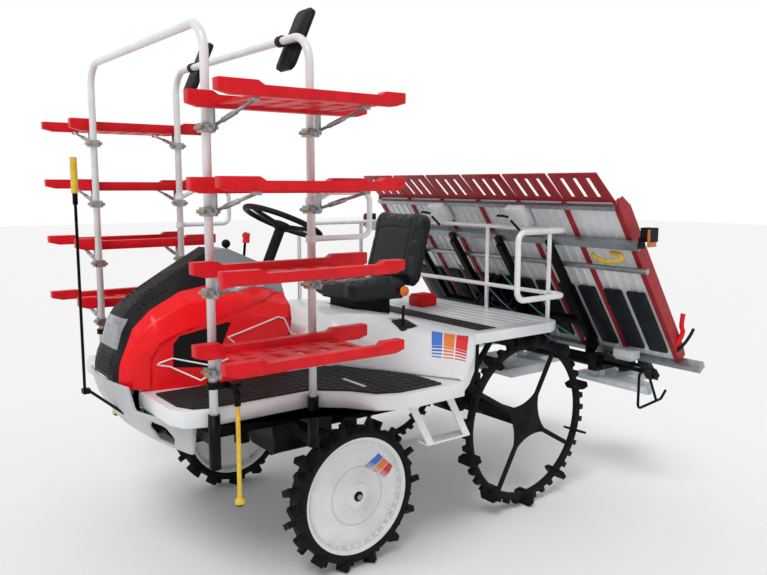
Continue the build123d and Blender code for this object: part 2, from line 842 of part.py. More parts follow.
def shelf(side, level):
    base = clamp_first_z + clamp_step_z * level + shelf_rise
    top = base + shelf_height
    raised = top + shelf_raise
    low = base - shelf_lip
    inner = [
        (-745, low + 12),
        (-745, raised),
        (shelf_front_y - 10, raised),
        (shelf_front_y + 12, top),
        (shelf_rear_y - 15, top),
        (shelf_rear_y + 5, raised),
        (-20, raised),
        (-20, low + 12),
        (-60, low),
        (-700, low),
    ]
    outer = [
        (-790, base + 12),
        (-790, raised),
        (shelf_front_y - 10, raised),
        (shelf_front_y + 12, top),
        (shelf_rear_y - 12, top),
        (shelf_rear_y + 5, raised),
        (-90, raised),
        (-90, base + 12),
        (-130, base),
        (-740, base),
    ]
    deck_top = base + shelf_deck
    parts = [
        side_plate(inner, shelf_inner_x, shelf_inner_x + shelf_beam),
        side_plate(outer, shelf_outer_x - shelf_beam, shelf_outer_x),
    ]
    deck_in = shelf_inner_x + shelf_beam
    deck_out = shelf_outer_x - shelf_beam
    deck = block(deck_in, deck_out, shelf_front_y, shelf_rear_y, deck_top - shelf_deck, deck_top)
    columns = 3
    rows = 5
    slot_x = (deck_out - deck_in) / columns
    slot_y = (shelf_rear_y - shelf_front_y) / rows
    lean = 18
    for column in range(columns):
        for row in range(rows):
            x0 = deck_in + slot_x * column + 16
            x1 = x0 + slot_x - 32
            y0 = shelf_front_y + slot_y * row + 20
            y1 = y0 + slot_y - 44
            opening = [(x0, y0), (x1, y0 + lean), (x1, y1 + lean - 10), (x0, y1 - 10)]
            deck = deck.cut(flat_plate(opening, low, top))
    parts.append(deck)
    body = fuse(parts)
    return body if side > 0 else other_side(body)


def shelves(side):
    return group([shelf(side, level) for level in range(shelf_levels)])


def rack_strut(side, y, level):
    z = clamp_first_z + clamp_step_z * level
    base = z + shelf_rise
    inner = hoop_half - hoop_tube - 8
    outer = hoop_half + hoop_tube + 10
    parts = [
        block(inner, outer, y - 24, y + 24, z - 16, z + 16),
        rod((outer - 6, y + 10, z), (shelf_outer_x - 60, y + 10, base - 6), 6),
        rod((outer + 90, y + 10, z + 0.27 * shelf_rise), (outer + 190, y + 10, z + 0.555 * shelf_rise), 9),
        block(shelf_inner_x + 4, outer + 44, y - 4, y + 4, z - 12, base - shelf_lip - 0.3),
        block(hoop_half, shelf_inner_x + 6, y - 4, y + 4, z - 12, z + 12),
        block(shelf_outer_x - 76, shelf_outer_x - 44, y - 2, y + 22, base - 12, base - 0.3),
    ]
    body = fuse(parts).cut(rod((hoop_half, y, z - 40), (hoop_half, y, z + 80), hoop_tube + running_gap))
    return body if side > 0 else other_side(body)


def rack_struts():
    rows = [(side, y, level) for side in (-1, 1) for y in hoop_ys for level in range(shelf_levels)]
    return group([rack_strut(*row) for row in rows])


def grab_hoops():
    y = hoop_ys[1]
    reach = 276
    low = 1428
    high = 1572
    points = [
        (hoop_half, y + hoop_tube, low),
        (hoop_half, y + reach, low),
        (hoop_half, y + reach, high + 34),
        (hoop_half, y + reach - 190, high + 34),
        (hoop_half, y + hoop_tube, high),
    ]
    parts = [pipe(points, 11, 40)]
    for z in (low, high):
        parts.append(rod((hoop_half, y, z - 13), (hoop_half, y, z + 13), hoop_tube + 6))
    body = fuse(parts).cut(rod((hoop_half, y, low - 60), (hoop_half, y, high + 80), hoop_tube + running_gap))
    return group([body, other_side(body)])


def mirrors():
    y = hoop_ys[1]
    shell = fillet(Box(130, 18, 262).edges().filter_by(Axis.Y), 30)
    place = Pos(470, y + 46, hoop_top_z + 6) * Rot(-24, 0, 0)
    shell = place * shell
    collar = rod((420, y, hoop_top_z), (450, y, hoop_top_z), hoop_tube + 6)
    stem = rod((435, y, hoop_top_z), (435, y + 42, hoop_top_z), 7)
    body = fuse([shell, collar, stem])
    body = body.cut(rod((300, y, hoop_top_z), (600, y, hoop_top_z), hoop_tube + running_gap))
    return group([body, other_side(body)])


# Markers and steps


def marker_brackets():
    pieces = []
    for side in (-1, 1):
        x = side * hoop_half
        y = hoop_ys[0]
        z = side_marker_z
        clamp = rod((x, y, z - 12), (x, y, z + 12), hoop_tube + 9)
        link = block(x + side * 14, x + side * 24, y, side_marker_y - 14, z - 12, z + 12)
        front = block(x + side * 8, side * (side_marker_x + 12), side_marker_y - 24, side_marker_y - 14, z - 12, z + 12)
        pin = rod((side * side_marker_x, side_marker_y - 20, z), (side * side_marker_x, side_marker_y + 12, z), 5)
        body = fuse([clamp, link, front, pin])
        pieces.append(body.cut(rod((x, y, z - 40), (x, y, z + 40), hoop_tube + running_gap)))
    bracket_x = 96
    fork = [
        block(9 + running_gap, 15, mast_y - 10, mast_y + 14, mast_z - 10, mast_z + 10),
        block(-15, -9 - running_gap, mast_y - 10, mast_y + 14, mast_z - 10, mast_z + 10),
        block(-15, 15, mast_y + 12, mast_y + 20, mast_z - 10, mast_z + 10),
        rod((-15, mast_y, mast_z), (15, mast_y, mast_z), 4),
        rod((0, mast_y + 16, mast_z), (bracket_x, -800, 702), 6),
    ]
    pieces.append(fuse(fork).cut(bumper_form(0)))
    return group(pieces)


def marker_mast():
    eye = rod((-9, mast_y, mast_z), (9, mast_y, mast_z), 10)
    body = fuse(
        [
            eye,
            rod((0, mast_y, mast_z + 4), (0, mast_y, mast_top_z), 6),
            rod((0, mast_y, mast_top_z - 180), (0, mast_y, mast_top_z + 6), 10),
        ]
    )
    return body.cut(rod((-20, mast_y, mast_z), (20, mast_y, mast_z), 4 + running_gap))


def side_marker(side):
    x = side * side_marker_x
    y = side_marker_y
    z = side_marker_z
    body = fuse(
        [
            rod((x, y - 13, z), (x, y + 12, z), 11),
            rod((x, y, z), (x, y, z - side_marker_length + 30), 6),
            Pos(x, y, z - side_marker_length) * Sphere(18),
            rod((x, y, z - 20), (x, y, z - 75), 12),
            rod((x, y, z - side_marker_length + 10), (x, y, z - side_marker_length + 40), 5),
        ]
    )
    return body.cut(rod((x, y - 20, z), (x, y + 20, z), 5 + running_gap))


def steps():
    # top y, foot y of each arm
    rows = [(147, 250), (352, 455)]
    top_z = floor_top_z - floor_wall
    parts = []
    for top_y, foot_y in rows:
        points = [
            (top_y - 18, top_z),
            (top_y + 18, top_z),
            (top_y + 18, floor_bottom_z - 10),
            (foot_y + 18, step_foot_z),
            (foot_y - 18, step_foot_z),
            (top_y - 18, floor_bottom_z - 10),
        ]
        parts.append(side_plate(points, step_x - 4, step_x + 4))
    low = step_foot_z - 8
    parts.append(block(step_x - 60, step_x + 4, rows[0][1] - 18, rows[1][1] + 18, low, step_foot_z))
    body = fuse(parts)
    return group([body, other_side(body)])


# Lift linkage


def on_link(shape):
    """Turns a piece drawn along +Y from the lower pivot to its raised place."""
    return Pos(0, lift_y, lift_z) * Rot(link_raised, 0, 0) * shape


def link_bar(x0, x1):
    outline = [
        (-6, -link_half_height),
        (link_length + 6, -link_half_height),
        (link_length + 6, link_half_height),
        (-6, link_half_height),
    ]
    bar = side_plate(outline, x0, x1)
    for y in (0, link_length):
        bar = bar.fuse(rod((x0, y, 0), (x1, y, 0), link_half_height + 2))
    for y in (0, link_length):
        bar = bar.cut(rod((x0 - 5, y, 0), (x1 + 5, y, 0), lift_pin + running_gap))
    return bar


def lower_links():
    inner = link_x - link_plate / 2
    outer = link_x + link_plate / 2
    parts = [link_bar(inner, outer), link_bar(-outer, -inner)]
    parts.append(rod((-inner, 0, 0), (inner, 0, 0), 20))
    parts.append(rod((-inner, 300, 0), (inner, 300, 0), 15))
    tip_y, tip_z = polar(0, 0, horn_length, horn_turn)
    foot = polar(0, 0, 20, horn_turn + 90)
    foot_two = polar(0, 0, 20, horn_turn - 90)
    horn_outline = [
        foot,
        foot_two,
        (tip_y + 14, tip_z),
        (tip_y + 6, tip_z + 14),
        (tip_y - 10, tip_z + 14),
        (tip_y - 16, tip_z),
    ]
    parts.append(side_plate(horn_outline, cylinder_x + 12, cylinder_x + 22))
    return on_link(fuse(parts))


def upper_link():
    return Pos(0, 0, link_spacing) * on_link(link_bar(-20.0, 20.0))


def horn_tip():
    return polar(lift_y, lift_z, horn_length, link_raised + horn_turn)


def cylinder_angle():
    tip_y, tip_z = horn_tip()
    return math.degrees(math.atan2(tip_z - cylinder_z, tip_y - cylinder_y))


def cylinder_span():
    tip_y, tip_z = horn_tip()
    return math.hypot(tip_z - cylinder_z, tip_y - cylinder_y)


def on_cylinder(shape):
    """Turns a piece drawn along +Y from the cylinder's pivot to its place."""
    return Pos(cylinder_x, cylinder_y, cylinder_z) * Rot(cylinder_angle(), 0, 0) * shape


def lift_cylinder():
    body = fuse(
        [
            rod((-12, 0, 0), (12, 0, 0), 18),
            rod((0, 0, 0), (0, 40, 0), 11),
            rod((0, 28, 0), (0, cylinder_length, 0), cylinder_radius),
        ]
    )
    body = body.cut(
        rod((-40, 0, 0), (40, 0, 0), 8 + running_gap),
        rod((0, 42, 0), (0, cylinder_length - 12, 0), cylinder_radius - 6),
        rod((0, 100, 0), (0, cylinder_length + 5, 0), cylinder_rod + running_gap),
    )
    return on_cylinder(body)


def lift_rod():
    span = cylinder_span()
    piston = rod((0, 50, 0), (0, 66, 0), cylinder_radius - 6.5)
    eye = rod((-9, span, 0), (9, span, 0), 17)
    body = fuse([piston, rod((0, 60, 0), (0, span - 10, 0), cylinder_rod), eye])
    return on_cylinder(body.cut(rod((-20, span, 0), (20, span, 0), 9)))


# Planting unit


def tray_place(v, w):
    """The side-view point at a distance down the tray and a height above it."""
    turn = math.radians(tray_angle)
    y = tray_top_y + v * math.cos(turn) + w * math.sin(turn)
    z = tray_top_z - v * math.sin(turn) + w * math.cos(turn)
    return y, z


def tray_block(x0, x1, v0, v1, w0, w1):
    """A box that lies along the tray."""
    corners = [tray_place(v0, w0), tray_place(v1, w0), tray_place(v1, w1), tray_place(v0, w1)]
    return side_plate(corners, x0, x1)


def tray_half():
    return lanes * lane_pitch / 2


def hitch_point(rise):
    y, z = polar(lift_y, lift_z, link_length, link_raised)
    return y, z + rise


def planter_frame():
    parts = [rod((-case_pitch - 60, beam_y, beam_z), (case_pitch + 60, beam_y, beam_z), beam_radius)]
    low_y, low_z = hitch_point(0)
    top_y, top_z = hitch_point(link_spacing)
    for side in (-1, 1):
        for x in (side * upright_outer, side * upright_inner):
            parts.append(tray_block(x - 18, x + 18, 245, tray_length - 60, -90, -55))
            parts.append(tray_block(x - 18, x + 18, 202, 260, -75, -55))
            foot = [
                tray_place(tray_length - 150, -90),
                tray_place(tray_length - 60, -55),
                (beam_y + 20, beam_z + 10),
                (beam_y - 22, beam_z + 10),
            ]
            parts.append(side_plate(foot, x - 12, x + 12))
        inner = side * (link_x + link_plate / 2 + body_gap)
        outer = inner + side * 12
        parts.append(tray_block(inner, outer, 600, 755, -146, -60))
        parts.append(rod((side * (link_x - link_plate / 2), low_y, low_z), (outer, low_y, low_z), lift_pin))
        parts.append(tray_block(side * (20 + body_gap), side * (30 + body_gap), 508, 755, -95, -38))
    parts.append(tray_block(-upright_outer, upright_outer, 720, 755, -95, -60))
    parts.append(rod((-20 - body_gap, top_y, top_z), (20 + body_gap, top_y, top_z), lift_pin))
    return fuse(parts)


def tray_bars():
    flat = tray_block(-cross_bar_half, cross_bar_half, 195, 235, -55, -29)
    low_y, low_z = tray_place(369, -40.5)
    round_bar = rod((10 - cross_bar_half, low_y, low_z), (cross_bar_half - 10, low_y, low_z), 14)
    parts = [flat]
    low_rail = tray_block(-slide_rail_half, slide_rail_half, tray_length + 0.4, tray_length + 34, -30, 22)
    rail_parts = [low_rail]
    for side in (-1, 1):
        for x in (side * upright_outer, side * upright_inner):
            parts.append(tray_block(x - 30, x + 30, 205, 225, -30, -24.4))
            rail_parts.append(tray_block(x - 16, x + 16, tray_length - 90, tray_length + 20, -54.7, -42))
            rail_parts.append(tray_block(x - 16, x + 16, tray_length + 6, tray_length + 30, -54.7, -28))
    return group([fuse(parts), round_bar, fuse(rail_parts)])


def lane_edge(lane):
    """The X of the divider before a lane, counted from the right."""
    return tray_shift - tray_half() + lane_pitch * lane


def tray_panels():
    panels = []
    for lane in range(lanes):
        x0 = lane_edge(lane) + divider_width / 2
        x1 = lane_edge(lane + 1) - divider_width / 2
        panel = tray_block(x0, x1, 0, tray_length, -3, 5)
        rib_pitch = (x1 - x0) / (ribs_per_lane + 1)
        for rib in range(1, ribs_per_lane + 1):
            middle = x0 + rib_pitch * rib
            panel = panel.fuse(tray_block(middle - 5, middle + 5, 12, tray_length - 12, -9, -3))
        panels.append(panel)
    return group(panels)


def tray_dividers():
    pieces = []
    for lane in range(lanes + 1):
        x = lane_edge(lane)
        pieces.append(tray_block(x - divider_width / 2, x + divider_width / 2, 0, tray_length, -14, 34))
    for side in (-1, 1):
        edge = tray_shift + side * (tray_half() + divider_width / 2)
        sheet = [
            tray_place(-10, 34),
            tray_place(-10, 4),
            tray_place(20, -14),
            tray_place(tray_length - 30, -14),
            tray_place(tray_length - 4, 0),
            tray_place(tray_length - 4, 40),
            tray_place(tray_length - 60, 52),
            tray_place(60, 62),
        ]
        pieces.append(side_plate(sheet, edge, edge + side * 6))
    return group(pieces)


def tray_runners():
    low = lane_edge(0)
    high = lane_edge(lanes)
    top = tray_block(low, high, 4, 26, -34, -14)
    middle = tray_block(low, high, 203, 227, -24, -14)
    return group([top, middle])


def tray_plates():
    turn = math.radians(plate_angle)
    start_y, start_z = tray_place(-running_gap, -3)
    plates = []
    for lane in range(lanes):
        x0 = lane_edge(lane) + 4
        x1 = x0 + lane_pitch - 8
        sheet = flat_plate([(x0, 0), (x1, 0), (x1 - 6, -plate_length), (x0 + 6, -plate_length)], 0, 8)
        slot_pitch = lane_pitch / 4
        for slot in range(3):
            middle = x0 - 4 + slot_pitch * (slot + 1)
            sheet = sheet.cut(block(middle - 13, middle + 13, -plate_length + 30, -30, -5, 15))
        plates.append(Pos(0, start_y, start_z) * Rot(-plate_angle, 0, 0) * sheet)
    return group(plates)


def feed_belts():
    belts = []
    for lane in range(lanes):
        lane_x = lane_edge(lane + 0.5)
        for side in (-1, 1):
            x = lane_x + side * 68
            belts.append(tray_block(x - 52, x + 52, tray_length - 455, tray_length - 60, -28, -9))
    return group(belts)


def planting_cases():
    outline = [
        (beam_y - 40, beam_z - 50),
        (beam_y - 40, beam_z + 40),
        (beam_y + 40, beam_z + 40),
        (rotor_y - 160, rotor_z + 60),
        (rotor_y - 25, rotor_z + 50),
        (rotor_y + 37, rotor_z + 25),
        (rotor_y + 45, rotor_z - 15),
        (rotor_y + 20, rotor_z - 40),
        (rotor_y - 35, rotor_z - 40),
        (rotor_y - 85, rotor_z),
    ]
    cases = []
    for x in (-case_pitch, 0, case_pitch):
        body = side_plate(outline, x - case_half, x + case_half)
        body = body.cut(rod((x - 50, beam_y, beam_z), (x + 50, beam_y, beam_z), beam_radius + running_gap))
        body = body.cut(rod((x - 50, rotor_y, rotor_z), (x + 50, rotor_y, rotor_z), rotor_shaft + running_gap))
        cases.append(body)
    return group(cases)


def rotor(x):
    parts = [rod((x - rotor_offset, rotor_y, rotor_z), (x + rotor_offset, rotor_y, rotor_z), rotor_shaft)]
    for side in (-1, 1):
        middle = x + side * rotor_offset
        arm = fillet(Box(26, 176, 64).edges().filter_by(Axis.X), 30)
        parts.append(Pos(middle, rotor_y, rotor_z) * Rot(-50, 0, 0) * arm)
        for end in (0, 180):
            finger = Pos(middle + side * 24, rotor_y, rotor_z) * Rot(end - 50, 0, 0)
            parts.append(finger * Pos(0, 62, 6) * Box(24, 56, 34))
            parts.append(finger * Pos(0, 62, -14) * Rot(20, 0, 0) * Pos(0, 20, 0) * Box(14, 50, 6))
    body = fuse(parts)
    limit = rod((x - 300, rotor_y, rotor_z), (x + 300, rotor_y, rotor_z), rotor_reach)
    return body & limit


def floats():
    # x, half-width at the front, front y, neck y, half-width of the tail
    side_x = case_pitch + 60
    rows = [
        (0, 200, beam_y - 330, beam_y + 90, 88),
        (side_x, 220, beam_y - 20, beam_y + 135, 88),
        (-side_x, 220, beam_y - 20, beam_y + 135, 88),
    ]
    tail_y = rotor_y + 165
    pieces = []
    for x, half, front, neck, tail in rows:
        top = float_bottom_z + float_height
        tail_x = round(x / side_x) * case_pitch
        points = [
            (x - half + 40, front),
            (x + half - 40, front),
            (x + half, front + 50),
            (x + half, neck - 30),
            (x + half - 30, neck),
            (tail_x + tail, neck + 20),
            (tail_x + tail - 12, tail_y),
            (tail_x - tail + 12, tail_y),
            (tail_x - tail, neck + 20),
            (x - half + 30, neck),
            (x - half, neck - 30),
            (x - half, front + 50),
        ]
        body = flat_plate(points, float_bottom_z, top)
        nose = side_plate([(front - 5, float_bottom_z - 5), (front + 110, float_bottom_z - 5), (front - 5, top - 16)], x - 400, x + 400)
        body = body.cut(nose)
        bracket = block(tail_x - 9, tail_x + 9, beam_y + 20, beam_y + 70, top, beam_z - 50)
        pieces.append(body.fuse(bracket))
    return group(pieces)


def side_guards():
    x = case_pitch + 305
    points = [
        (x, beam_y + 40, beam_z),
        (x, beam_y - 50, beam_z),
        (x, beam_y - 50, float_bottom_z - 45),
        (x, beam_y + 150, float_bottom_z - 25),
        (x, beam_y + 190, float_bottom_z + 15),
    ]
    loop = pipe(points, 7, 24)
    leg = rod((x, beam_y + 20, beam_z), (x, beam_y + 110, float_bottom_z - 29), 7)
    arm = rod((case_pitch + 60, beam_y, beam_z), (x, beam_y, beam_z), 12)
    body = fuse([loop, leg, arm])
    return group([body, other_side(body)])


def tail_lamps():
    y, z = tray_place(215, -42)
    lamps = []
    for side in (-1, 1):
        x = side * cross_bar_half
        lamp = block(x - side * 4, x + side * 50, y + 10, y + 70, z + 20, z + 85)
        arm = block(x, x + side * 10, y - 10, y + 30, z - 12, z + 40)
        lamps.append(fuse([lamp, arm]).cut(tray_bars_end(side)))
    return group(lamps)


def tray_bars_end(side):
    return tray_block(side * 900, side * cross_bar_half, 190, 240, -60, -26)


nodes = {
    "main_frame": main_frame(),
    "frame_arms": frame_arms(),
    "engine_block": engine_block(),
    "front_axle_case": front_axle_case(),
    "rear_axle_case": rear_axle_case(),
    "bonnet": bonnet(),
    "bonnet_centre": bonnet_centre(),
    "headlamps": headlamps(),
    "dash_cover": dash_cover(),
    "bumper": bumper(),
    "floor_panel": floor_panel(),
    "floor_mats": floor_mats(),
    "rear_cover": rear_cover(),
    "rear_deck": rear_deck(),
    "guard_rail": guard_rail(),
    "seat_base": seat_base(),
    "seat_cushion": seat_cushion(),
    "seat_back": seat_back(),
    "steering_column": steering_column(),
    "control_levers": control_levers(),
    "front_hoop": hoop(hoop_ys[0]),
    "rear_hoop": hoop(hoop_ys[1]),
    "rack_sockets": rack_sockets(),
    "shelves_left": shelves(1),
    "shelves_right": shelves(-1),
    "rack_struts": rack_struts(),
    "grab_hoops": grab_hoops(),
    "mirrors": mirrors(),
    "marker_brackets": marker_brackets(),
    "steps": steps(),
    "steering_wheel": steering_wheel(),
    "knuckle_left": knuckle(),
    "knuckle_right": other_side(knuckle()),
    "front_rim_left": front_rim(),
    "front_rim_right": other_side(front_rim()),
    "front_tyre_left": front_tyre(),
    "front_tyre_right": other_side(front_tyre()),
    "rear_wheel_left": rear_wheel(),
    "rear_wheel_right": other_side(rear_wheel()),
    "marker_mast": marker_mast(),
    "side_marker_left": side_marker(1),
    "side_marker_right": side_marker(-1),
    "lower_links": lower_links(),
    "upper_link": upper_link(),
    "lift_cylinder": lift_cylinder(),
    "lift_rod": lift_rod(),
    "planter_frame": planter_frame(),
    "tray_bars": tray_bars(),
    "tray_panels": tray_panels(),
    "tray_dividers": tray_dividers(),
    "tray_runners": tray_runners(),
    "tray_plates": tray_plates(),
    "feed_belts": feed_belts(),
    "planting_cases": planting_cases(),
    "rotor_left": rotor(case_pitch),
    "rotor_centre": rotor(0),
    "rotor_right": rotor(-case_pitch),
    "floats": floats(),
    "side_guards": side_guards(),
    "tail_lamps": tail_lamps(),
}

boxes = [shape.bounding_box() for shape in nodes.values()]
front_end = min(box.min.Y for box in boxes)
rear_end = max(box.max.Y for box in boxes)
origin_y = (front_end + rear_end) / 2
print("origin y", round(origin_y, 3), "from", round(front_end, 3), "to", round(rear_end, 3))
print("half-width", round(max(box.max.X for box in boxes), 3), "height", round(max(box.max.Z for box in boxes), 3))

os.makedirs("parts", exist_ok=True)
for name, shape in nodes.items():
    solids = [Pos(0, -origin_y, 0) * solid for solid in shape.solids()]
    if not all(solid.is_valid for solid in solids):
        print(name, "isn't valid")
    export_step(solids[0] if len(solids) == 1 else Compound(solids), f"parts/{name}.step")
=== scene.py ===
import json
import math

import bpy
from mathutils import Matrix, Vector
from mathutils.bvhtree import BVHTree


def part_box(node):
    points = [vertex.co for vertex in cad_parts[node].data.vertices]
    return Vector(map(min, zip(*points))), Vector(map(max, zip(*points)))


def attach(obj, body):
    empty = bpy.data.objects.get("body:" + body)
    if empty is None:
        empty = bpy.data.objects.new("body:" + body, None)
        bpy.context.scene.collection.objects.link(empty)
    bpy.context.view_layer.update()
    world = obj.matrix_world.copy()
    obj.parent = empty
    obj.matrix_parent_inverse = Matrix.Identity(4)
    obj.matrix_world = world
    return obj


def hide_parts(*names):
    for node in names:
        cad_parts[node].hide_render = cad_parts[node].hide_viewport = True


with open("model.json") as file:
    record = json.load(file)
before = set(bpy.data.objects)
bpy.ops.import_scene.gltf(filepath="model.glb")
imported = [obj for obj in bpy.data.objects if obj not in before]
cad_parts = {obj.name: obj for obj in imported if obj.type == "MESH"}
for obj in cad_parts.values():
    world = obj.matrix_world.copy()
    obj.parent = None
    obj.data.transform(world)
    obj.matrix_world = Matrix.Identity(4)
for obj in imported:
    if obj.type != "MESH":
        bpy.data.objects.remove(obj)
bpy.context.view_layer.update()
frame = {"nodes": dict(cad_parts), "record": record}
nodes = frame["nodes"]
scene = bpy.context.scene

# Drawing measures are in metres with Y 0 at the front axle; this is how far back the origin lies
originY = 0.55242


# Camera, matched to the photograph's own frame

camera = {
    "place": (3.1915, -1.7857 - originY, 1.6329),
    "pitch": 7.557,
    "azimuth": 53.22,
    "roll": -0.094,
    "lens": 36.16,
    "sensor": 36,
    "clipEnd": 200,
}

bpy.ops.object.camera_add(
    location=camera["place"],
    rotation=(
        math.radians(90 - camera["pitch"]),
        math.radians(camera["roll"]),
        math.radians(camera["azimuth"]),
    ),
)
cameraObject = bpy.context.object
cameraObject.data.lens = camera["lens"]
cameraObject.data.sensor_width = camera["sensor"]
cameraObject.data.clip_end = camera["clipEnd"]
scene.camera = cameraObject
scene.view_settings.view_transform = "Standard"
print("camera made")


# Colours and nodes


def toLinear(hexColour):
    channels = []
    for index in (0, 2, 4):
        value = int(hexColour[index : index + 2], 16) / 255
        channels.append(value / 12.92 if value <= 0.04045 else ((value + 0.055) / 1.055) ** 2.4)
    return (*channels, 1.0)


def addNode(owner, kind, settings, links):
    # A node in a material's or the world's tree; a link is named by its input, or by the input's number
    node = owner.node_tree.nodes.new(kind)
    for name, value in settings.items():
        if name in node.inputs:
            node.inputs[name].default_value = value
        else:
            setattr(node, name, value)
    for name, source in links.items():
        owner.node_tree.links.new(source, node.inputs[name])
    return node


def startMaterial(name, colour, roughness, **settings):
    material = bpy.data.materials.new(name)
    material.use_nodes = True
    shader = material.node_tree.nodes["Principled BSDF"]
    shader.inputs["Base Color"].default_value = toLinear(colour)
    shader.inputs["Roughness"].default_value = roughness
    for socket, value in settings.items():
        shader.inputs[socket.replace("_", " ")].default_value = value
    return material, shader


def makeFinish(name, colour, roughness, tones, patch, grain, bump, gloss, spread=(0.3, 0.7), **settings):
    # Soft patches of two tones, and a surface grain that carries the bump and the gloss.
    # patch, grain and the bump's height are real sizes in millimetres; bump is its strength and height.
    material, shader = startMaterial(name, colour, roughness, **settings)
    place = addNode(material, "ShaderNodeTexCoord", {}, {})
    patches = addNode(
        material,
        "ShaderNodeTexNoise",
        {"Scale": 1000 / patch, "Detail": 4.0, "Roughness": 0.6},
        {"Vector": place.outputs["Object"]},
    )
    ramp = addNode(material, "ShaderNodeValToRGB", {}, {"Fac": patches.outputs["Fac"]})
    for element, position, tone in zip(ramp.color_ramp.elements, spread, tones):
        element.position = position
        element.color = toLinear(tone)
    material.node_tree.links.new(ramp.outputs["Color"], shader.inputs["Base Color"])
    surface = addNode(
        material,
        "ShaderNodeTexNoise",
        {"Scale": 1000 / grain, "Detail": 3.0},
        {"Vector": place.outputs["Object"]},
    )
    relief = addNode(
        material,
        "ShaderNodeBump",
        {"Strength": bump[0], "Distance": bump[1] / 1000},
        {"Height": surface.outputs["Fac"]},
    )
    material.node_tree.links.new(relief.outputs["Normal"], shader.inputs["Normal"])
    sheen = addNode(
        material,
        "ShaderNodeMapRange",
        {"To Min": gloss[0], "To Max": gloss[1]},
        {"Value": surface.outputs["Fac"]},
    )
    material.node_tree.links.new(sheen.outputs["Result"], shader.inputs["Roughness"])
    return material


# Finishes. Grain that is really about half a millimetre wouldn't show, so it is drawn 2 to 4 mm coarse

# Moulded ABS, coloured through: even colour, high gloss, a faint ripple from the mould
redAbs = makeFinish(
    "redMouldedAbs", "F0121C", 0.28, tones=("E4101C", "F5161F"), patch=350,
    grain=20, bump=(0.06, 2), gloss=(0.2, 0.3), IOR=1.5, Specular_IOR_Level=0.22,
)
whiteAbs = makeFinish(
    "whiteMouldedAbs", "E2E6E9", 0.3, tones=("D9DDE0", "E9ECEE"), patch=250,
    grain=15, bump=(0.05, 2), gloss=(0.25, 0.38), IOR=1.53, Coat_Weight=0.25, Coat_Roughness=0.1,
)

# Polypropylene rack parts: softer gloss than the covers, scuffed on the working faces
redPp = makeFinish(
    "redPolypropylene", "DC141E", 0.42, tones=("CC101A", "E21A25"), patch=60,
    grain=4, bump=(0.12, 0.6), gloss=(0.3, 0.5), IOR=1.49, Specular_IOR_Level=0.2,
)

# The same plastic on the planting table, its red darkened as painted shade for the shadow that the table
# stands in, and duller
shadedRedPp = makeFinish(
    "shadedRedPolypropylene", "9C1420", 0.45, tones=("8C101A", "A91824"), patch=60,
    grain=4, bump=(0.12, 0.6), gloss=(0.36, 0.55), IOR=1.45,
)

# ABS with a silver pigment: a satin bumper with the mould's slow ripple
silverAbs = makeFinish(
    "silverMouldedAbs", "B9BCBF", 0.35, tones=("AFB3B6", "C4C7C9"), patch=200,
    grain=10, bump=(0.05, 1), gloss=(0.3, 0.42), IOR=1.53,
)

# Unpainted ABS from eroded moulds: half dull, finely grained, grey on the dash and near black on the trim.
# The dash's grey is set to the darker tone of its shaded side, so it is partly painted shade over the
# plastic's own blue-grey
greyAbs = makeFinish(
    "greyMouldedAbs", "7A858B", 0.45, tones=("727D83", "858F95"), patch=120,
    grain=3, bump=(0.15, 0.5), gloss=(0.4, 0.55), IOR=1.53, Specular_IOR_Level=0.3,
)
blackAbs = makeFinish(
    "blackGrainedAbs", "0C0C0E", 0.5, tones=("08080A", "131316"), patch=80,
    grain=2.5, bump=(0.25, 0.5), gloss=(0.4, 0.6), IOR=1.5, Specular_IOR_Level=0.16,
)

# Stoved enamel on steel: even, with a slight orange-peel 6 mm across; a plainer, duller black on the chassis
whiteEnamel = makeFinish(
    "whiteStovedEnamel", "E8EAEB", 0.25, tones=("DDDFDF", "EDEFF0"), patch=120,
    grain=6, bump=(0.08, 0.6), gloss=(0.2, 0.34), IOR=1.5, Coat_Weight=0.3, Coat_Roughness=0.1,
)
blackEnamel = makeFinish(
    "blackChassisEnamel", "050506", 0.42, tones=("030304", "0B0B0D"), patch=100, spread=(0.35, 0.7),
    grain=6, bump=(0.15, 0.8), gloss=(0.3, 0.5), IOR=1.5, Specular_IOR_Level=0.12,
)

# As-cast alloy, painted dark: a sandy grain
castGrey = makeFinish(
    "paintedCastAlloy", "111214", 0.55, tones=("0B0C0D", "1A1B1D"), patch=50,
    grain=2.5, bump=(0.35, 0.8), gloss=(0.45, 0.65), IOR=1.5, Specular_IOR_Level=0.16,
)

# Vulcanised rubber: dull, with patches of dust
tyreRubber = makeFinish(
    "vulcanisedTyreRubber", "0F1012", 0.7, tones=("0A0B0C", "191A1C"), patch=50, spread=(0.3, 0.75),
    grain=3, bump=(0.25, 0.8), gloss=(0.6, 0.8), IOR=1.5, Specular_IOR_Level=0.15,
)

# Pressed rubber mat: dull and even; its raised lines are made as geometry
matRubber = makeFinish(
    "pressedMatRubber", "222224", 0.65, tones=("1A1A1C", "2A2A2C"), patch=80,
    grain=3, bump=(0.3, 0.6), gloss=(0.55, 0.75), IOR=1.52, Specular_IOR_Level=0.2,
)

# Zinc plate: a cool grey metal with a fine cloudy bloom; passivated yellow on the bolts
zincSteel = makeFinish(
    "zincPlatedSteel", "9BA1A4", 0.38, tones=("8C9295", "A9AEB1"), patch=40,
    grain=2, bump=(0.12, 0.3), gloss=(0.3, 0.48), Metallic=0.9,
)
yellowZinc = makeFinish(
    "yellowPassivatedZinc", "9C8A5E", 0.35, tones=("8A7850", "B0A078"), patch=20,
    grain=2, bump=(0.12, 0.3), gloss=(0.28, 0.45), Metallic=0.85,
)

# Ground and chromed steel: close to a mirror
chromeRod = makeFinish(
    "hardChrome", "D4D6D8", 0.12, tones=("CBCDD0", "DCDEE0"), patch=20,
    grain=1, bump=(0.04, 0.1), gloss=(0.1, 0.16), Metallic=1.0,
)

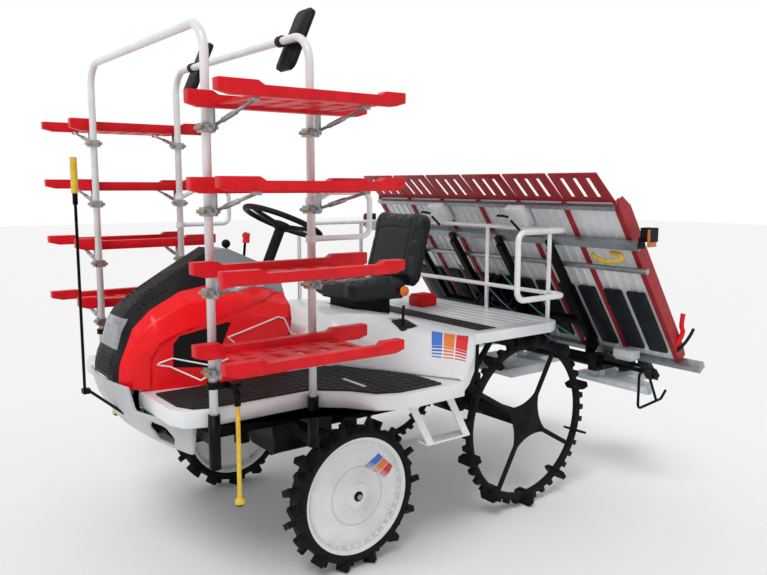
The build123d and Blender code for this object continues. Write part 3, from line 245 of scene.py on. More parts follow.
# Vinyl skin over foam: a leather grain about 2 mm across
seatVinyl = makeFinish(
    "grainedSeatVinyl", "131419", 0.42, tones=("0E0F13", "191B21"), patch=50,
    grain=2.2, bump=(0.35, 0.6), gloss=(0.36, 0.55), IOR=1.5, Specular_IOR_Level=0.3,
)

# Acrylic of the headlamps: polished, partly seen through, with a faint wave 6 mm across
clearLens = makeFinish(
    "clearAcrylicLens", "A4A8B0", 0.08, tones=("8D929A", "B8BCC4"), patch=10,
    grain=6, bump=(0.12, 0.6), gloss=(0.05, 0.14), IOR=1.49, Transmission_Weight=0.35,
)

# Moulded belt guards: blue-black and half dull
beltRubber = makeFinish(
    "mouldedBeltGuard", "14181D", 0.5, tones=("0F1317", "1D2329"), patch=60,
    grain=3, bump=(0.2, 0.6), gloss=(0.42, 0.6), IOR=1.5, Specular_IOR_Level=0.2,
)

# Blow-moulded polyethylene: pale, waxy, with an uneven wall that ripples every 10 mm
paleFloat = makeFinish(
    "blowMouldedFloat", "CBD2D8", 0.4, tones=("BFC6CC", "D8DEE3"), patch=120,
    grain=10, bump=(0.08, 1), gloss=(0.35, 0.48), IOR=1.5,
)

finishes = {
    "main_frame": blackEnamel,
    "frame_arms": blackEnamel,
    "engine_block": castGrey,
    "front_axle_case": blackEnamel,
    "rear_axle_case": blackEnamel,
    "bonnet": redAbs,
    "bonnet_centre": blackAbs,
    "headlamps": clearLens,
    "dash_cover": greyAbs,
    "bumper": silverAbs,
    "floor_panel": whiteAbs,
    "floor_mats": matRubber,
    "rear_cover": whiteAbs,
    "rear_deck": whiteAbs,
    "guard_rail": whiteEnamel,
    "seat_base": blackEnamel,
    "seat_cushion": seatVinyl,
    "seat_back": seatVinyl,
    "steering_column": blackAbs,
    "control_levers": blackEnamel,
    "front_hoop": whiteEnamel,
    "rear_hoop": whiteEnamel,
    "rack_sockets": blackEnamel,
    "shelves_left": redPp,
    "shelves_right": redPp,
    "rack_struts": zincSteel,
    "grab_hoops": whiteEnamel,
    "mirrors": blackAbs,
    "marker_brackets": blackEnamel,
    "steps": whiteEnamel,
    "steering_wheel": blackAbs,
    "knuckle_left": blackEnamel,
    "knuckle_right": blackEnamel,
    "front_rim_left": whiteEnamel,
    "front_rim_right": whiteEnamel,
    "front_tyre_left": tyreRubber,
    "front_tyre_right": tyreRubber,
    "rear_wheel_left": tyreRubber,
    "rear_wheel_right": tyreRubber,
    "marker_mast": blackEnamel,
    "side_marker_left": blackEnamel,
    "side_marker_right": blackEnamel,
    "lower_links": blackEnamel,
    "upper_link": blackEnamel,
    "lift_cylinder": blackEnamel,
    "lift_rod": chromeRod,
    "planter_frame": blackEnamel,
    "tray_bars": zincSteel,
    "tray_panels": whiteAbs,
    # The dividers and the top plates take the red plastic darkened as painted shade
    "tray_dividers": shadedRedPp,
    "tray_runners": zincSteel,
    "tray_plates": shadedRedPp,
    "feed_belts": beltRubber,
    "planting_cases": castGrey,
    "rotor_left": castGrey,
    "rotor_centre": castGrey,
    "rotor_right": castGrey,
    "floats": paleFloat,
    "side_guards": blackEnamel,
    "tail_lamps": blackAbs,
}
for nodeName, material in finishes.items():
    for materialSlot in nodes[nodeName].material_slots:
        materialSlot.material = material
print("materials given to", len(finishes), "nodes")


# Where each CAD node rides, and small helpers of the bench

bodyOf = {name: body for body, names in frame["record"]["behaviour"]["bodies"].items() for name in names}
sides = ((1, "Left"), (-1, "Right"))
wireCrease = 60  # degrees, past all facets of a round wire, so that it is shaded as one round


def pick(*chosen):
    # Nothing but these is selected, and the first is the active one
    bpy.ops.object.select_all(action="DESELECT")
    for thing in chosen:
        thing.hide_set(False)
        thing.select_set(True)
    bpy.context.view_layer.objects.active = chosen[0]


def fromAxle(point):
    # Drawing measures, Y from the front axle, to the frame's own
    return Vector((point[0], point[1] - originY, point[2]))


def useModifier(piece, kind, **settings):
    pick(piece)
    modifier = piece.modifiers.new(kind.title(), kind)
    for name, value in settings.items():
        setattr(modifier, name, value)
    bpy.ops.object.modifier_apply(modifier=modifier.name)


def block(low, high, edge=0.004, turn=(0, 0, 0)):
    # A box with rounded edges between two corners in drawing measures, turned about its middle
    bpy.ops.object.select_all(action="DESELECT")
    middle = [(start + end) / 2 for start, end in zip(low, high)]
    bpy.ops.mesh.primitive_cube_add(
        size=1,
        location=fromAxle(middle),
        rotation=[math.radians(angle) for angle in turn],
        scale=[end - start for start, end in zip(low, high)],
    )
    piece = bpy.context.object
    bpy.ops.object.transform_apply(location=True, rotation=True, scale=True)
    useModifier(piece, "BEVEL", width=edge, segments=2, limit_method="NONE")
    return piece


def drum(middle, along, radius, length, edge=0.002, sides=24):
    # A round of this radius and length along an axis, its rims bevelled
    bpy.ops.object.select_all(action="DESELECT")
    bpy.ops.mesh.primitive_cylinder_add(
        vertices=sides,
        radius=radius,
        depth=length,
        location=fromAxle(middle),
        rotation=Vector(along).to_track_quat("Z", "Y").to_euler(),
    )
    piece = bpy.context.object
    bpy.ops.object.transform_apply(location=True, rotation=True, scale=True)
    useModifier(piece, "BEVEL", width=edge, segments=2, limit_method="ANGLE", angle_limit=math.radians(50))
    return piece


def wire(points, radius, smooth=True):
    # A bent wire or cable through these points in drawing measures
    bpy.ops.object.select_all(action="DESELECT")
    bpy.ops.curve.primitive_nurbs_path_add(location=(0, 0, 0))
    curve = bpy.context.object
    curve.data.splines.clear()
    spline = curve.data.splines.new("NURBS" if smooth else "POLY")
    spline.points.add(len(points) - 1)
    for knot, point in zip(spline.points, points):
        knot.co = (*fromAxle(point), 1)
    if smooth:
        spline.order_u = 3
        spline.use_endpoint_u = True
        spline.resolution_u = 6
    curve.data.bevel_depth = radius
    curve.data.bevel_resolution = 3
    curve.data.use_fill_caps = True
    bpy.ops.object.convert(target="MESH")
    return bpy.context.object


def close(name, parts, material, body, crease=35):
    # The parts become one named piece that rides on its body
    pick(*parts)
    if len(parts) > 1:
        bpy.ops.object.join()
    piece = bpy.context.object
    piece.name = name
    piece.data.name = name
    piece.data.materials.clear()
    piece.data.materials.append(material)
    bpy.ops.object.shade_smooth_by_angle(angle=math.radians(crease))
    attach(piece, body)


def treeOf(piece):
    # The piece as something that a line can be dropped on
    return BVHTree.FromObject(piece, bpy.context.evaluated_depsgraph_get())


def dropOn(tree, point, direction, lift=0.0):
    # Where a line from this point meets the piece, in drawing measures, or the point itself if it misses
    aim = Vector(direction).normalized()
    spot = tree.ray_cast(fromAxle(point), aim)[0]
    if spot is None:
        return Vector(point)
    spot = spot - aim * lift
    return Vector((spot.x, spot.y + originY, spot.z))


# Softened copies: each stands for its CAD node, merged, with rounded edges and smooth faces

softening = {
    "mergeWithin": 0.00002,
    "flatWithin": 0.5,
    "roundFrom": 40,
    "largeFaceWeight": 50,
}
softened = {
    # node: (piece, edge radius, crease angle)
    "bonnet": ("bonnetShell", 0.0, 28),
    "bonnet_centre": ("bonnetStrip", 0.0, 32),
    "headlamps": ("headlampLens", 0.0, 40),
    "dash_cover": ("dashCowl", 0.0, 34),
    "bumper": ("bumperMoulding", 0.0, 34),
    "floor_panel": ("footFloor", 0.004, 34),
    "rear_cover": ("rearCover", 0.0, 30),
    "rear_deck": ("rearDeckSlats", 0.0015, 30),
    "guard_rail": ("guardRailTube", 0.0, 50),
    "front_hoop": ("frontHoopTube", 0.0, 50),
    "rear_hoop": ("rearHoopTube", 0.0, 50),
    "grab_hoops": ("grabHoopTubes", 0.0, 50),
    "rack_sockets": ("rackSocketTubes", 0.0, 50),
    "rack_struts": ("shelfStruts", 0.0, 40),
    "shelves_left": ("shelvesLeft", 0.0015, 35),
    "shelves_right": ("shelvesRight", 0.0015, 35),
    "mirrors": ("mirrorHeads", 0.0, 45),
    "steering_wheel": ("steeringRim", 0.0, 50),
    "steering_column": ("steeringSleeve", 0.0, 40),
    "control_levers": ("leverStems", 0.0, 45),
    "front_rim_left": ("frontDiscLeft", 0.0, 35),
    "front_rim_right": ("frontDiscRight", 0.0, 35),
    "front_tyre_left": ("frontTyreLeft", 0.0, 30),
    "front_tyre_right": ("frontTyreRight", 0.0, 30),
    "rear_wheel_left": ("paddyWheelLeft", 0.0, 35),
    "rear_wheel_right": ("paddyWheelRight", 0.0, 35),
    "front_axle_case": ("frontAxleCase", 0.0, 40),
    "rear_axle_case": ("rearAxleCase", 0.0, 40),
    "knuckle_left": ("knuckleLeft", 0.0, 40),
    "knuckle_right": ("knuckleRight", 0.0, 40),
    "marker_mast": ("markerMast", 0.0, 45),
    "side_marker_left": ("sideMarkerLeft", 0.0, 45),
    "side_marker_right": ("sideMarkerRight", 0.0, 45),
    "lift_cylinder": ("liftCylinder", 0.0, 45),
    "lift_rod": ("liftRod", 0.0, 45),
    "lower_links": ("lowerLinks", 0.0, 40),
    "upper_link": ("upperLink", 0.0, 40),
    "planting_cases": ("plantingCases", 0.0, 40),
    "rotor_left": ("rotorLeft", 0.0, 40),
    "rotor_centre": ("rotorCentre", 0.0, 40),
    "rotor_right": ("rotorRight", 0.0, 40),
    "side_guards": ("sideGuardTubes", 0.0, 50),
    "floats": ("plantingFloats", 0.006, 35),
    "tray_panels": ("tablePanels", 0.0015, 30),
    "tray_plates": ("tableTopPlates", 0.001, 30),
    "feed_belts": ("beltGuards", 0.006, 35),
}

# Moulded covers made again as one even skin of small faces: voxel size, rounds of smoothing
evened = {
    "rear_cover": (0.007, 8),
    "bumper": (0.006, 6),
    "dash_cover": (0.005, 6),
}

# Evening would close the bonnet's openings, so here the larger face gives the light at each edge instead
facesLead = ("bonnet", "bonnet_centre")


def mergedCopy(nodeName, pieceName, joinFlat=False, drawIn=0.0):
    # The node's mesh in a new object, with its loose triangles merged
    piece = bpy.data.objects.new(pieceName, nodes[nodeName].data.copy())
    bpy.context.collection.objects.link(piece)
    pick(piece)
    bpy.ops.object.mode_set(mode="EDIT")
    bpy.ops.mesh.select_all(action="SELECT")
    bpy.ops.mesh.remove_doubles(threshold=softening["mergeWithin"])
    if joinFlat:
        bpy.ops.mesh.dissolve_limited(angle_limit=math.radians(softening["flatWithin"]))
    if drawIn:
        bpy.ops.transform.shrink_fatten(value=-drawIn)
    bpy.ops.object.mode_set(mode="OBJECT")
    return piece


shown = {}
for nodeName, (pieceName, edge, crease) in softened.items():
    piece = mergedCopy(nodeName, pieceName, joinFlat=edge > 0)
    if edge:
        useModifier(
            piece,
            "BEVEL",
            width=edge,
            segments=2,
            limit_method="ANGLE",
            angle_limit=math.radians(softening["roundFrom"]),
            use_clamp_overlap=True,
        )
    if nodeName in evened:
        voxel, rounds = evened[nodeName]
        useModifier(piece, "REMESH", mode="VOXEL", voxel_size=voxel, use_smooth_shade=True)
        useModifier(piece, "SMOOTH", factor=0.5, iterations=rounds)
    bpy.ops.object.shade_smooth_by_angle(angle=math.radians(crease))
    if nodeName in facesLead:
        useModifier(piece, "WEIGHTED_NORMAL", weight=softening["largeFaceWeight"], keep_sharp=True)
    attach(piece, bodyOf[nodeName])
    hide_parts(nodeName)
    shown[nodeName] = piece
print("softened copies", len(shown))


# Seat: two vinyl pads blown up by pressure, then their seams pressed in

seat = {
    "voxel": 0.007,
    "smoothing": 6,
    "pressure": 4.0,
    "frames": 20,
    "mostSwell": 0.014,  # no point moves further out than this
    "shrink": 0.006,
    "seamDepth": 0.007,
    "seamWidth": 0.006,
    "backBolster": 0.135,
    "backFill": 0.75,
    "archDrop": 0.085,
    "archCurve": 0.9,
    "cushionBolster": 0.15,
    "cushionFill": 0.8,
    "rearSeamIn": 0.09,
    "noSeam": 1.0,  # so far from a seam that nothing is pressed in
}
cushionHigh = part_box("seat_cushion")[1]
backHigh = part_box("seat_back")[1]
rearSeamY = cushionHigh[1] - seat["rearSeamIn"]
archTop = backHigh[2] - seat["archDrop"]


def blowUp(nodeName, pieceName, seams):
    piece = mergedCopy(nodeName, pieceName, drawIn=seat["shrink"])
    useModifier(piece, "REMESH", mode="VOXEL", voxel_size=seat["voxel"], use_smooth_shade=True)
    useModifier(piece, "SMOOTH", factor=0.5, iterations=seat["smoothing"])
    start = [vertex.co.copy() for vertex in piece.data.vertices]
    cloth = piece.modifiers.new("Swell", "CLOTH")
    cloth.settings.use_pressure = True
    cloth.settings.uniform_pressure_force = seat["pressure"]
    cloth.settings.effector_weights.gravity = 0
    cloth.settings.quality = 5
    for frameNumber in range(1, seat["frames"] + 1):
        scene.frame_set(frameNumber)
    pick(piece)
    bpy.ops.object.modifier_apply(modifier=cloth.name)
    for vertex, home in zip(piece.data.vertices, start):
        push = vertex.co - home
        if push.length > seat["mostSwell"]:
            vertex.co = home + push.normalized() * seat["mostSwell"]
    scene.frame_set(1)
    useModifier(piece, "SUBSURF", levels=1, render_levels=1)
    sink = []
    for vertex in piece.data.vertices:
        depth = 0.0
        for seam in seams:
            away = seam(vertex.co)
            depth = max(depth, seat["seamDepth"] * math.exp(-((away / seat["seamWidth"]) ** 2)))
        sink.append(depth)
    # All normals are read before the first point moves, since each move makes Blender work them out again
    outward = [vertex.normal.copy() for vertex in piece.data.vertices]
    for vertex, depth, normal in zip(piece.data.vertices, sink, outward):
        vertex.co -= normal * depth
    for polygon in piece.data.polygons:
        polygon.use_smooth = True
    piece.data.materials.clear()
    piece.data.materials.append(seatVinyl)
    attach(piece, bodyOf[nodeName])
    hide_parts(nodeName)


def bolsterSeam(half):
    # The two seams along the side bolsters, this far from the middle
    return lambda point: abs(point.x) - half


def rearSeam(point):
    # A seam across the cushion near its rear edge, between the side bolsters
    return point.y - rearSeamY if abs(point.x) < seat["cushionBolster"] else seat["noSeam"]


def topSeam(point):
    # The back's panel ends in an arch under its top bolster
    arch = archTop - seat["archCurve"] * point.x * point.x
    return point.z - arch if abs(point.x) < seat["backBolster"] else seat["noSeam"]


cushionSeams = [bolsterSeam(seat["cushionBolster"]), rearSeam]
blowUp("seat_cushion", "seatCushionPad", cushionSeams)
blowUp("seat_back", "seatBackPad", [bolsterSeam(seat["backBolster"]), topSeam])
print("seat pads made")


# Colour blocks without letters: thin film laid on the covers and on the front discs

film = {
    "tones": {"blue": "2A6FCE", "red": "D8101C", "orange": "E87722"},
    "blocks": [("blue", 0.0, 0.3), ("orange", 0.34, 0.64), ("red", 0.68, 1.0)],
    "thickness": 0.0006,
    "proud": 0.0008,
    "cuts": 6,
    "castFrom": 0.3,
    "barShare": 0.42,  # of the height, under the blocks
    "barGap": 0.02,  # of the height, above each bar
    "barThick": 0.62,  # of a bar's own share of the height, at the top
    "barThinning": 0.42,  # how much of that is lost towards the bottom
}
filmPaints = {}
for tone, hexColour in film["tones"].items():
    # Printed vinyl film: even colour, a little gloss
    filmPaints[tone] = makeFinish(
        tone + "VinylFilm", hexColour, 0.3, tones=(hexColour, hexColour), patch=50,
        grain=4, bump=(0.04, 0.2), gloss=(0.26, 0.36), IOR=1.5,
    )

# Corners in drawing measures: low left, low right, high right, high left
discCorners = [(0.62, 0.03, 0.447), (0.62, 0.146, 0.371), (0.62, 0.197, 0.41), (0.62, 0.115, 0.487)]
filmPlaces = {
    "discFilm": {
        "ground": "front_rim_left",
        "corners": discCorners,
        "direction": (-1, 0, 0),
        "body": "front_wheel_left",
        "bars": 5,
    },
    "farDiscFilm": {
        "ground": "front_rim_right",
        "corners": [(-x, y, z) for x, y, z in discCorners],
        "direction": (1, 0, 0),
        "body": "front_wheel_right",
        "bars": 5,
    },
    "riserFilm": {
        "ground": "rear_cover",
        "corners": [
            (0.661, 0.372, 0.8795),
            (0.7865, 0.458, 0.868),
            (0.658, 0.595, 0.951),
            (0.516, 0.494, 0.964),
        ],
        "direction": (-0.25, 0.2, -0.95),
        "body": "chassis",
        "bars": 4,
    },
}


def layFilm(name, tree, corners, aim, material, body):
    # A four-sided patch whose points are dropped on the ground along the aim
    bpy.ops.object.select_all(action="DESELECT")
    bpy.ops.mesh.primitive_grid_add(
        x_subdivisions=film["cuts"], y_subdivisions=film["cuts"], size=2, location=(0, 0, 0)
    )
    patch = bpy.context.object
    corners = [fromAxle(corner) for corner in corners]
    for vertex in patch.data.vertices:
        along = (vertex.co.x + 1) / 2
        up = (vertex.co.y + 1) / 2
        lower = corners[0].lerp(corners[1], along)
        upper = corners[3].lerp(corners[2], along)
        goal = lower.lerp(upper, up)
        spot = tree.ray_cast(goal - aim * film["castFrom"], aim)[0]
        vertex.co = (spot or goal) - aim * film["proud"]
    patch.data.update()
    useModifier(patch, "SOLIDIFY", thickness=film["thickness"], offset=0)
    close(name, [patch], material, body)


for placeName, place in filmPlaces.items():
    # Upright blocks of colour side by side, and under them bars that get thinner
    tree = treeOf(shown[place["ground"]])
    aim = Vector(place["direction"]).normalized()
    lowLeft, lowRight, highRight, highLeft = [Vector(corner) for corner in place["corners"]]
    strips = {"Block": (film["barShare"], 1.0)}
    barCount = place["bars"]
    for index in range(barCount):
        top = film["barShare"] * (1 - index / barCount) - film["barGap"]
        thin = film["barShare"] / barCount * (film["barThick"] - film["barThinning"] * index / barCount)
        strips["Bar" + str(index)] = (top - thin, top)
    for tone, start, end in film["blocks"]:
        left = (lowLeft.lerp(lowRight, start), highLeft.lerp(highRight, start))
        right = (lowLeft.lerp(lowRight, end), highLeft.lerp(highRight, end))
        for stripName, (low, high) in strips.items():
            corners = [left[0].lerp(left[1], low), right[0].lerp(right[1], low)]
            corners += [right[0].lerp(right[1], high), left[0].lerp(left[1], high)]
            layFilm(placeName + tone + stripName, tree, corners, aim, filmPaints[tone], place["body"])
print("colour blocks laid")


# Paints and plastics of the small parts

# Yellow enamel on the marker rods and hooks: even, with a slight orange-peel
yellowEnamel = makeFinish(
    "yellowRodEnamel", "E0B820", 0.35, tones=("CFA618", "EBC838"), patch=30,
    grain=4, bump=(0.1, 0.5), gloss=(0.28, 0.42), IOR=1.5,
)

# Amber acrylic of the tail lamps: polished and partly seen through
amberLens = makeFinish(
    "amberAcrylicLens", "D9701A", 0.15, tones=("C9620F", "E8852A"), patch=10,
    grain=3, bump=(0.12, 0.5), gloss=(0.1, 0.22), IOR=1.49, Transmission_Weight=0.25,
)


# Bonnet: white line round the vent, louvres, lamp reflectors and grille bars

bonnetTree = treeOf(shown["bonnet"])
stripTree = treeOf(shown["bonnet_centre"])

ventLine = {
    # Y and Z of its corners, in drawing measures
    "corners": [
        (-0.560, 0.930),
        (-0.635, 0.900),
        (-0.700, 0.916),
        (-0.690, 0.924),
        (-0.490, 0.977),
        (-0.320, 1.020),
        (-0.160, 1.060),
        (-0.130, 1.050),
        (-0.112, 1.010),
        (-0.090, 0.957),
    ],
    "steps": 4,
    "radius": 0.0034,
    "castFrom": 0.5,
    "lift": 0.001,
    "panelInside": 0.2,  # a point nearer the middle than this fell through the vent's opening
    "panelOutside": 0.245,
}
for side, sideName in sides:
    route = []
    for start, end in zip(ventLine["corners"], ventLine["corners"][1:]):
        for step in range(ventLine["steps"]):
            y = start[0] + (end[0] - start[0]) * step / ventLine["steps"]
            z = start[1] + (end[1] - start[1]) * step / ventLine["steps"]
            spot = dropOn(bonnetTree, (side * ventLine["castFrom"], y, z), (-side, 0, 0), ventLine["lift"])
            if side * spot.x < ventLine["panelInside"]:
                # It stays as far out as the point before it
                spot.x = route[-1].x if route else side * ventLine["panelOutside"]
            route.append(spot)
    line = wire(route, ventLine["radius"], smooth=False)
    close("ventLine" + sideName, [line], whiteEnamel, "chassis", wireCrease)

louvre = {
    "rows": 7,
    "firstY": -0.735,
    "run": 0.115,
    "innerX": 0.052,
    "outerX": 0.108,
    "slant": 0.012,
    "radius": 0.0045,
    "castFrom": 1.6,
    "lift": 0.001,
}
louvres = []
for index in range(louvre["rows"]):
    y = louvre["firstY"] + louvre["run"] * (index / (louvre["rows"] - 1))
    for side in (1, -1):
        innerStart = (side * louvre["innerX"], y, louvre["castFrom"])
        outerStart = (side * louvre["outerX"], y + louvre["slant"], louvre["castFrom"])
        inner = dropOn(stripTree, innerStart, (0, 0, -1), louvre["lift"])
        outer = dropOn(stripTree, outerStart, (0, 0, -1), louvre["lift"])
        louvres.append(wire([inner, inner.lerp(outer, 0.5), outer], louvre["radius"], smooth=False))
close("stripLouvres", louvres, blackAbs, "chassis", wireCrease)

reflector = {
    "x": 0.062,
    "y": -0.79,
    "z": 1.03,
    "along": (0, -0.94, 0.34),
    "radius": 0.036,
    "depth": 0.03,
    "edge": 0.006,
}
reflectors = []
for side in (1, -1):
    middle = (side * reflector["x"], reflector["y"], reflector["z"])
    reflectors.append(
        drum(middle, reflector["along"], reflector["radius"], reflector["depth"], reflector["edge"])
    )
close("lampReflectors", reflectors, chromeRod, "chassis", 40)

grille = {
    "bars": 6,
    "lowestZ": 0.872,
    "spacing": 0.014,
    "across": (-0.09, -0.06, -0.03, 0, 0.03, 0.06, 0.09),
    "radius": 0.0028,
    "castFrom": -1.2,
    "lift": 0.001,
}
bars = []
for index in range(grille["bars"]):
    z = grille["lowestZ"] + grille["spacing"] * index
    starts = [(x, grille["castFrom"], z) for x in grille["across"]]
    route = [dropOn(stripTree, start, (0, 1, 0), grille["lift"]) for start in starts]
    bars.append(wire(route, grille["radius"], smooth=False))
close("grilleBars", bars, castGrey, "chassis", wireCrease)
print("bonnet trim made")


# Front hubs: a dark washer and a zinc nut in the middle of each disc

hub = {
    "height": 0.325,
    "washerX": 0.630,
    "washerRadius": 0.022,
    "washerThick": 0.006,
    "nutX": 0.636,
    "nutRadius": 0.013,
    "nutThick": 0.012,
    "nutEdge": 0.001,
}
for side, sideName in sides:
    wheelBody = "front_wheel_" + sideName.lower()
    washerMiddle = (side * hub["washerX"], 0, hub["height"])
    washer = drum(washerMiddle, (1, 0, 0), hub["washerRadius"], hub["washerThick"])
    close("hubWasher" + sideName, [washer], blackEnamel, wheelBody)
    nutMiddle = (side * hub["nutX"], 0, hub["height"])
    nut = drum(nutMiddle, (1, 0, 0), hub["nutRadius"], hub["nutThick"], hub["nutEdge"], sides=6)
    close("hubNut" + sideName, [nut], zincSteel, wheelBody)


# Front discs: a pressed ring line, and the rolled edge

discRing = {
    "steps": 48,
    "castFrom": 1.0,
    # radius of the ring and thickness of its line
    "rings": ((0.128, 0.0016), (0.236, 0.0014)),
}
for side, sideName in sides:
    rings = []
    wheelBody = "front_wheel_" + sideName.lower()
    tree = treeOf(shown["front_rim_" + sideName.lower()])
    for radius, thick in discRing["rings"]:
        route = []
        for step in range(discRing["steps"] + 1):
            angle = 2 * math.pi * step / discRing["steps"]
            y = radius * math.cos(angle)
            z = hub["height"] + radius * math.sin(angle)
            route.append(dropOn(tree, (side * discRing["castFrom"], y, z), (-side, 0, 0)))
        rings.append(wire(route, thick, smooth=False))
    close("discRings" + sideName, rings, silverAbs, wheelBody, wireCrease)


# Rack: a pair of bolts through each clamp

clampBolt = {
    "levels": 4,
    "lowestZ": 0.962,
    "spacing": 0.289,
    "x": 0.648,
    "hoopYs": (-0.652, -0.231),
    "fromTube": 0.026,
    "radius": 0.0085,
    "length": 0.062,
    "edge": 0.0015,
}
boltSize = (clampBolt["radius"], clampBolt["length"], clampBolt["edge"])
bolts = []
for level in range(clampBolt["levels"]):
    z = clampBolt["lowestZ"] + clampBolt["spacing"] * level
    for side in (1, -1):
        for hoopY in clampBolt["hoopYs"]:
            for away in (-clampBolt["fromTube"], clampBolt["fromTube"]):
                middle = (side * clampBolt["x"], hoopY + away, z)
                bolts.append(drum(middle, (1, 0, 0), *boltSize, sides=6))
close("clampBolts", bolts, yellowZinc, "chassis")


# Markers: yellow sleeve on the mast, yellow rods and balls at the sides

marker = {
    "sleeve": [(0, -0.925, 1.60), (0, -0.925, 1.67), (0, -0.925, 1.74)],
    "sleeveRadius": 0.0135,
    "rodX": 0.705,
    "rodY": -0.585,
    "rodTop": 0.86,
    "rodMiddle": 0.70,
    "rodFromFoot": 0.03,
    "rodRadius": 0.0085,
    "ballFromFoot": 0.019,
    "ballRadius": 0.0185,
}
sleeve = wire(marker["sleeve"], marker["sleeveRadius"])
close("mastSleeve", [sleeve], yellowEnamel, "centre_marker", wireCrease)
for side, sideName in sides:
    x = side * marker["rodX"]
    y = marker["rodY"]
    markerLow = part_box("side_marker_" + sideName.lower())[0]
    foot = markerLow[2]
    rod = wire(
        [(x, y, marker["rodTop"]), (x, y, marker["rodMiddle"]), (x, y, foot + marker["rodFromFoot"])],
        marker["rodRadius"],
    )
    bpy.ops.object.select_all(action="DESELECT")
    bpy.ops.mesh.primitive_uv_sphere_add(
        segments=24,
        ring_count=12,
        radius=marker["ballRadius"],
        location=fromAxle((x, y, foot + marker["ballFromFoot"])),
    )
    ball = bpy.context.object
    bpy.ops.object.transform_apply(location=True, rotation=True, scale=True)
    markerBody = "side_marker_" + sideName[0].lower()
    close("markerRod" + sideName, [rod, ball], yellowEnamel, markerBody, wireCrease)
print("rack and marker details made")


# Red knob beside the steering wheel, box and strip on the deck, the seat's knob, lever in its slot plate

redKnob = {
    "route": [
        (0.0457, -0.2068, 1.375),
        (0.0460, -0.2055, 1.392),
        (0.0465, -0.2040, 1.408),
        (0.047, -0.203, 1.420),
    ],
    "radius": 0.0155,
}
close("redKnob", [wire(redKnob["route"], redKnob["radius"])], redAbs, "chassis", wireCrease)

deckBox = {
    # two corners and the edge radius of each part
    "box": ((-0.205, 0.93, 0.955), (-0.09, 1.05, 1.015), 0.010),
    "lid": ((-0.195, 0.94, 1.012), (-0.10, 1.04, 1.024), 0.004),
}
close("deckBox", [block(*measures) for measures in deckBox.values()], redPp, "chassis")

seatKnob = {
    # middle, axis, radius, length and edge radius of each part
    "grip": ((0.222, 0.565, 1.112), (1, 0, 0), 0.026, 0.014, 0.004),
    "cap": ((0.230, 0.565, 1.112), (1, 0, 0), 0.012, 0.008, 0.003),
}
knobParts = [drum(*measures) for measures in seatKnob.values()]
close("seatKnob", knobParts, filmPaints["orange"], "chassis")

deckStrip = {"low": (-0.6, 0.71, 0.9535), "high": (0.6, 0.83, 0.9585), "edge": 0.002}
strip = block(deckStrip["low"], deckStrip["high"], deckStrip["edge"])
close("deckStrip", [strip], matRubber, "chassis")

seatLever = {
    "plateLow": (0.322, 0.372, 0.978),
    "plateHigh": (0.448, 0.488, 0.984),
    "plateEdge": 0.002,
    "plateTurn": (0, 12, 0),
    "lever": [(0.385, 0.43, 0.98), (0.387, 0.425, 1.03), (0.40, 0.42, 1.075)],
    "leverRadius": 0.007,
}
leverParts = [
    block(seatLever["plateLow"], seatLever["plateHigh"], seatLever["plateEdge"], seatLever["plateTurn"]),
    wire(seatLever["lever"], seatLever["leverRadius"]),
]
close("seatLever", leverParts, blackAbs, "chassis")


# Mats: raised lines in a grid of 42 mm squares over both mats

mat = {
    "square": 0.042,
    "top": 0.821,
    "topWithin": 0.002,
    "radius": 0.0024,
    "castFrom": 1.2,
    "reach": 0.42,
    # lines that run along the machine, and the points that each is tried at
    "alongX": 0.30,
    "alongLines": 14,
    "alongStart": -0.73,
    "alongStep": 0.017,
    "alongSteps": 60,
    "alongFewest": 4,
    # lines that run across it
    "acrossY": -0.72,
    "acrossLines": 24,
    "acrossStart": 0.29,
    "acrossStep": 0.0145,
    "acrossSteps": 40,
    "acrossFewest": 3,
}
matTree = treeOf(nodes["floor_mats"])


def linesOnMat(places, fewest):
    # The stretches of these places that lie over a mat's top, each of at least this many points
    stretches = [[]]
    for x, y in places:
        spot = matTree.ray_cast(fromAxle((x, y, mat["castFrom"])), Vector((0, 0, -1)), mat["reach"])[0]
        if spot is not None and abs(spot.z - mat["top"]) < mat["topWithin"]:
            stretches[-1].append((x, y, spot.z))
        else:
            stretches.append([])
    return [stretch for stretch in stretches if len(stretch) >= fewest]


lines = []
for side in (1, -1):
    for index in range(mat["alongLines"]):
        x = side * (mat["alongX"] + mat["square"] * index)
        places = [(x, mat["alongStart"] + mat["alongStep"] * step) for step in range(mat["alongSteps"])]
        lines += linesOnMat(places, mat["alongFewest"])
    for index in range(mat["acrossLines"]):
        y = mat["acrossY"] + mat["square"] * index
        steps = range(mat["acrossSteps"])
        places = [(side * (mat["acrossStart"] + mat["acrossStep"] * step), y) for step in steps]
        lines += linesOnMat(places, mat["acrossFewest"])
treads = [wire([line[0], line[len(line) // 2], line[-1]], mat["radius"], smooth=False) for line in lines]
close("matTread", treads, matRubber, "chassis", wireCrease)
print("mat tread lines", len(lines))


# Planting unit: control boxes with levers, yellow hooks, lamp lenses, cables, and the fittings of its rail

